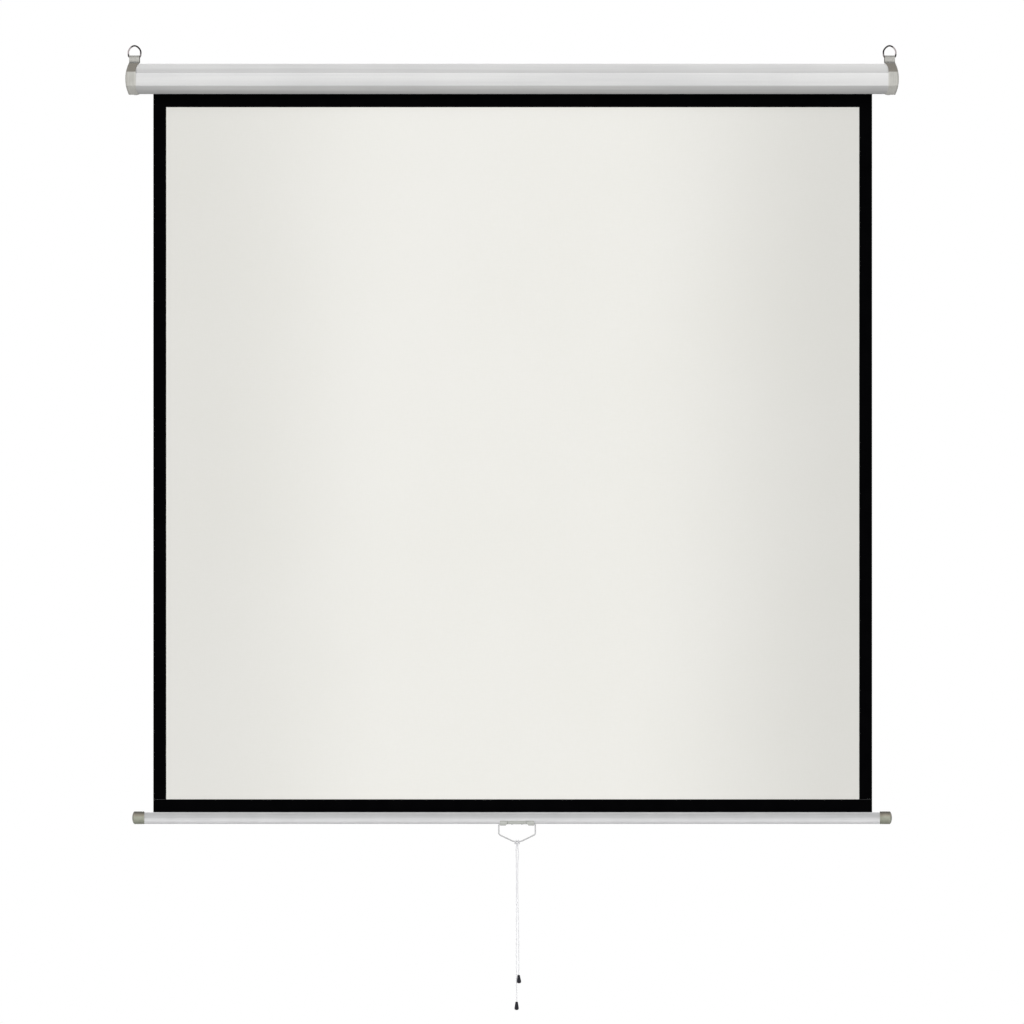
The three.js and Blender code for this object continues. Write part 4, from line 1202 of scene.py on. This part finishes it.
def bracket():
    """A saddle round the underside of the bar, with two rolled barrels for the bail."""
    mesh = bmesh.new()
    down = -math.pi / 2
    sheet = arc(SADDLE_OUTSIDE, down - SADDLE_SWEEP, down + SADDLE_SWEEP, 30)
    draw_out(mesh, sheet, SADDLE_HALF, -SADDLE_HALF)
    ends = [corner for corner in mesh.verts if len(corner.link_edges) == 2]
    round_off(mesh, ends, SADDLE_CORNER, 5, "VERTICES")
    clean(mesh)
    face_outwards(mesh, Vector())
    wall(mesh, SADDLE_WALL)
    round_off(mesh, folds(mesh, 60), SADDLE_EDGE, 2)
    rolled = arc(BARREL_RADIUS, LUG_MEETS, LUG_MEETS + LUG_ROLL, 28)
    section = [(SADDLE_OUTSIDE * math.cos(LUG_LEAVES), SADDLE_OUTSIDE * math.sin(LUG_LEAVES))]
    section += [(y + PIVOT.y, z + PIVOT.z) for y, z in rolled]
    for _, side in SIDES:
        barrel = bmesh.new()
        draw_out(barrel, section, side * BARREL_INNER_END, side * SADDLE_HALF)
        for corner in barrel.verts:
            if abs(corner.co.x) < BARREL_INNER_END + 0.01:
                corner.co.x += side * LUG_CUT * max(0, LUG_CUT_TOP - corner.co.z)
        face_outwards(barrel, PIVOT)
        wall(barrel, BARREL_WALL)
        round_off(barrel, folds(barrel, 60), SHEET_EDGE, 2)
        scratch = bpy.data.meshes.new("barrel")
        barrel.to_mesh(scratch)
        barrel.free()
        mesh.from_mesh(scratch)
        bpy.data.meshes.remove(scratch)
    at = BAR_AXIS + Vector((HANDLE_X, 0, 0))
    put(mesh, "saddle", at, "bracket_paint", "weight_bar", ["handle_bracket"], crease=40)
    for name, side in SIDES:
        place = at + Vector((side * SADDLE_SCREW_X, 0, -SADDLE_OUTSIDE - 0.05))
        screw(
            f"saddle_screw_{name}", place, DOWN, pan_head(*SADDLE_SCREW), SADDLE_RECESS,
            "weight_bar", f"bracket_screw_{name}",
        )


def bail():
    """A wire pull: down from the barrels, then slanting in to a short foot."""
    middle = BAR_AXIS + PIVOT + Vector((HANDLE_X, 0, 0))
    half = [
        (BAIL_FOOT_HALF, BAIL_DROP), (BAIL_HALF, BAIL_SIDE), (BAIL_HALF, 0), (BAIL_INNER_END, 0),
    ]
    corners = [Vector((-x, 0, z)) for x, z in reversed(half)]
    corners += [Vector((x, 0, z)) for x, z in half]
    ends = [corners[0]]
    for before, corner, after, bend in zip(corners, corners[1:], corners[2:], BAIL_BENDS):
        ends += [corner + (other - corner).normalized() * bend for other in (before, after)]
    ends.append(corners[-1])
    rows = []
    for start, end, before, after in zip(ends[::2], ends[1::2], corners, corners[1:]):
        for row in (
            (start, start.lerp(before, 2 / 3), start.lerp(end, 1 / 3)),
            (end, start.lerp(end, 2 / 3), end.lerp(after, 2 / 3)),
        ):
            rows.append(tuple(point + middle for point in row))
    loop = wire("bail", rows, BAIL_WIRE, steps=8, sides=5)
    dress(loop, "bail_wire", "handle", ["handle_bail"], crease=50)


bracket()
bail()


# CAD nodes that stay as they are, inside the case and the bar

CARRIED = {
    "bearing_steel": [
        "bearing_plate_left", "bearing_plate_right", "pawl_a", "pawl_b", "pawl_pin_a", "pawl_pin_b",
    ],
    "roller_steel": ["roller_tube", "drive_ferrule"],
    "spring_steel": ["spindle", "gudgeon_pin", "ratchet_wheel"],
    "nylon": ["idle_bush", "hem_rod"],
    "black_plastic": ["idle_plug", "spring_anchor", "spring_drive_plug"],
}
for slot, names in CARRIED.items():
    for name in names:
        for place in frame["nodes"][name].material_slots:
            place.material = FINISHES[slot].material


# Studio

def sun(name, azimuth, elevation, strength, softness):
    """A sun at an azimuth from the front and an elevation above the horizon, in degrees."""
    light = bpy.data.lights.new(name, "SUN")
    light.energy = strength
    light.angle = math.radians(softness)
    lamp = add(name, light)
    lamp.visible_glossy = False
    around, above = math.radians(azimuth), math.radians(elevation)
    level = math.cos(above)
    towards = Vector((math.sin(around) * level, -math.cos(around) * level, math.sin(above)))
    lamp.rotation_mode = "QUATERNION"
    lamp.rotation_quaternion = towards.to_track_quat("Z", "Y")


def seen_by(nodes, *kinds):
    """1 for rays of these kinds, and 0 for the others."""
    rays = nodes.tree.nodes.new("ShaderNodeLightPath").outputs
    seen = 0.0
    for kind in kinds:
        seen = Reading(nodes, rays[f"Is {kind} Ray"]).most(seen)
    return seen


def world():
    """A pale room: white to the camera and in reflections, and dim as a light."""
    bpy.context.scene.world = bpy.data.worlds.new("room")
    nodes = Nodes(bpy.context.scene.world)
    back = nodes.tree.nodes["Background"].inputs
    seen = seen_by(nodes, "Camera", "Glossy", "Transmission")
    nodes.feed(back["Color"], (1, 1, 1, 1))
    nodes.feed(back["Strength"], seen * (1 - ROOM_LIGHT) + ROOM_LIGHT)


def floor():
    """A plain pale floor that keeps the shadow and looks bright to the camera."""
    mesh = bmesh.new()
    bmesh.ops.create_grid(mesh, x_segments=1, y_segments=1, size=FLOOR_HALF / MM)
    ground = settle(mesh, "floor", (0, 0, FLOOR_Z / MM))
    finish = Finish("floor paint", Roughness=0.9, Specular_IOR_Level=0.1)
    cloud = finish.noise(3, 3)
    finish.set(Base_Color=finish.blend(cloud, (232, 232, 232), (238, 238, 238)))
    glow = finish.node("ShaderNodeEmission", {})
    shader = Reading(finish, finish.shader.outputs["BSDF"])
    share = seen_by(finish, "Camera", "Glossy") * FLOOR_GLOW
    mixed = finish.node("ShaderNodeMixShader", {0: share, 1: shader, 2: glow})
    finish.feed(finish.tree.nodes["Material Output"].inputs["Surface"], mixed)
    ground.data.materials.append(finish.material)
    ground.visible_diffuse = False
    ground.visible_shadow = False


sun("front light", -10, 15, 2.75, 90)
sun("back light left", -130, 25, 2.1, 90)
sun("back light right", 130, 25, 2.1, 90)
world()
floor()
bpy.context.scene.view_settings.view_transform = "Standard"
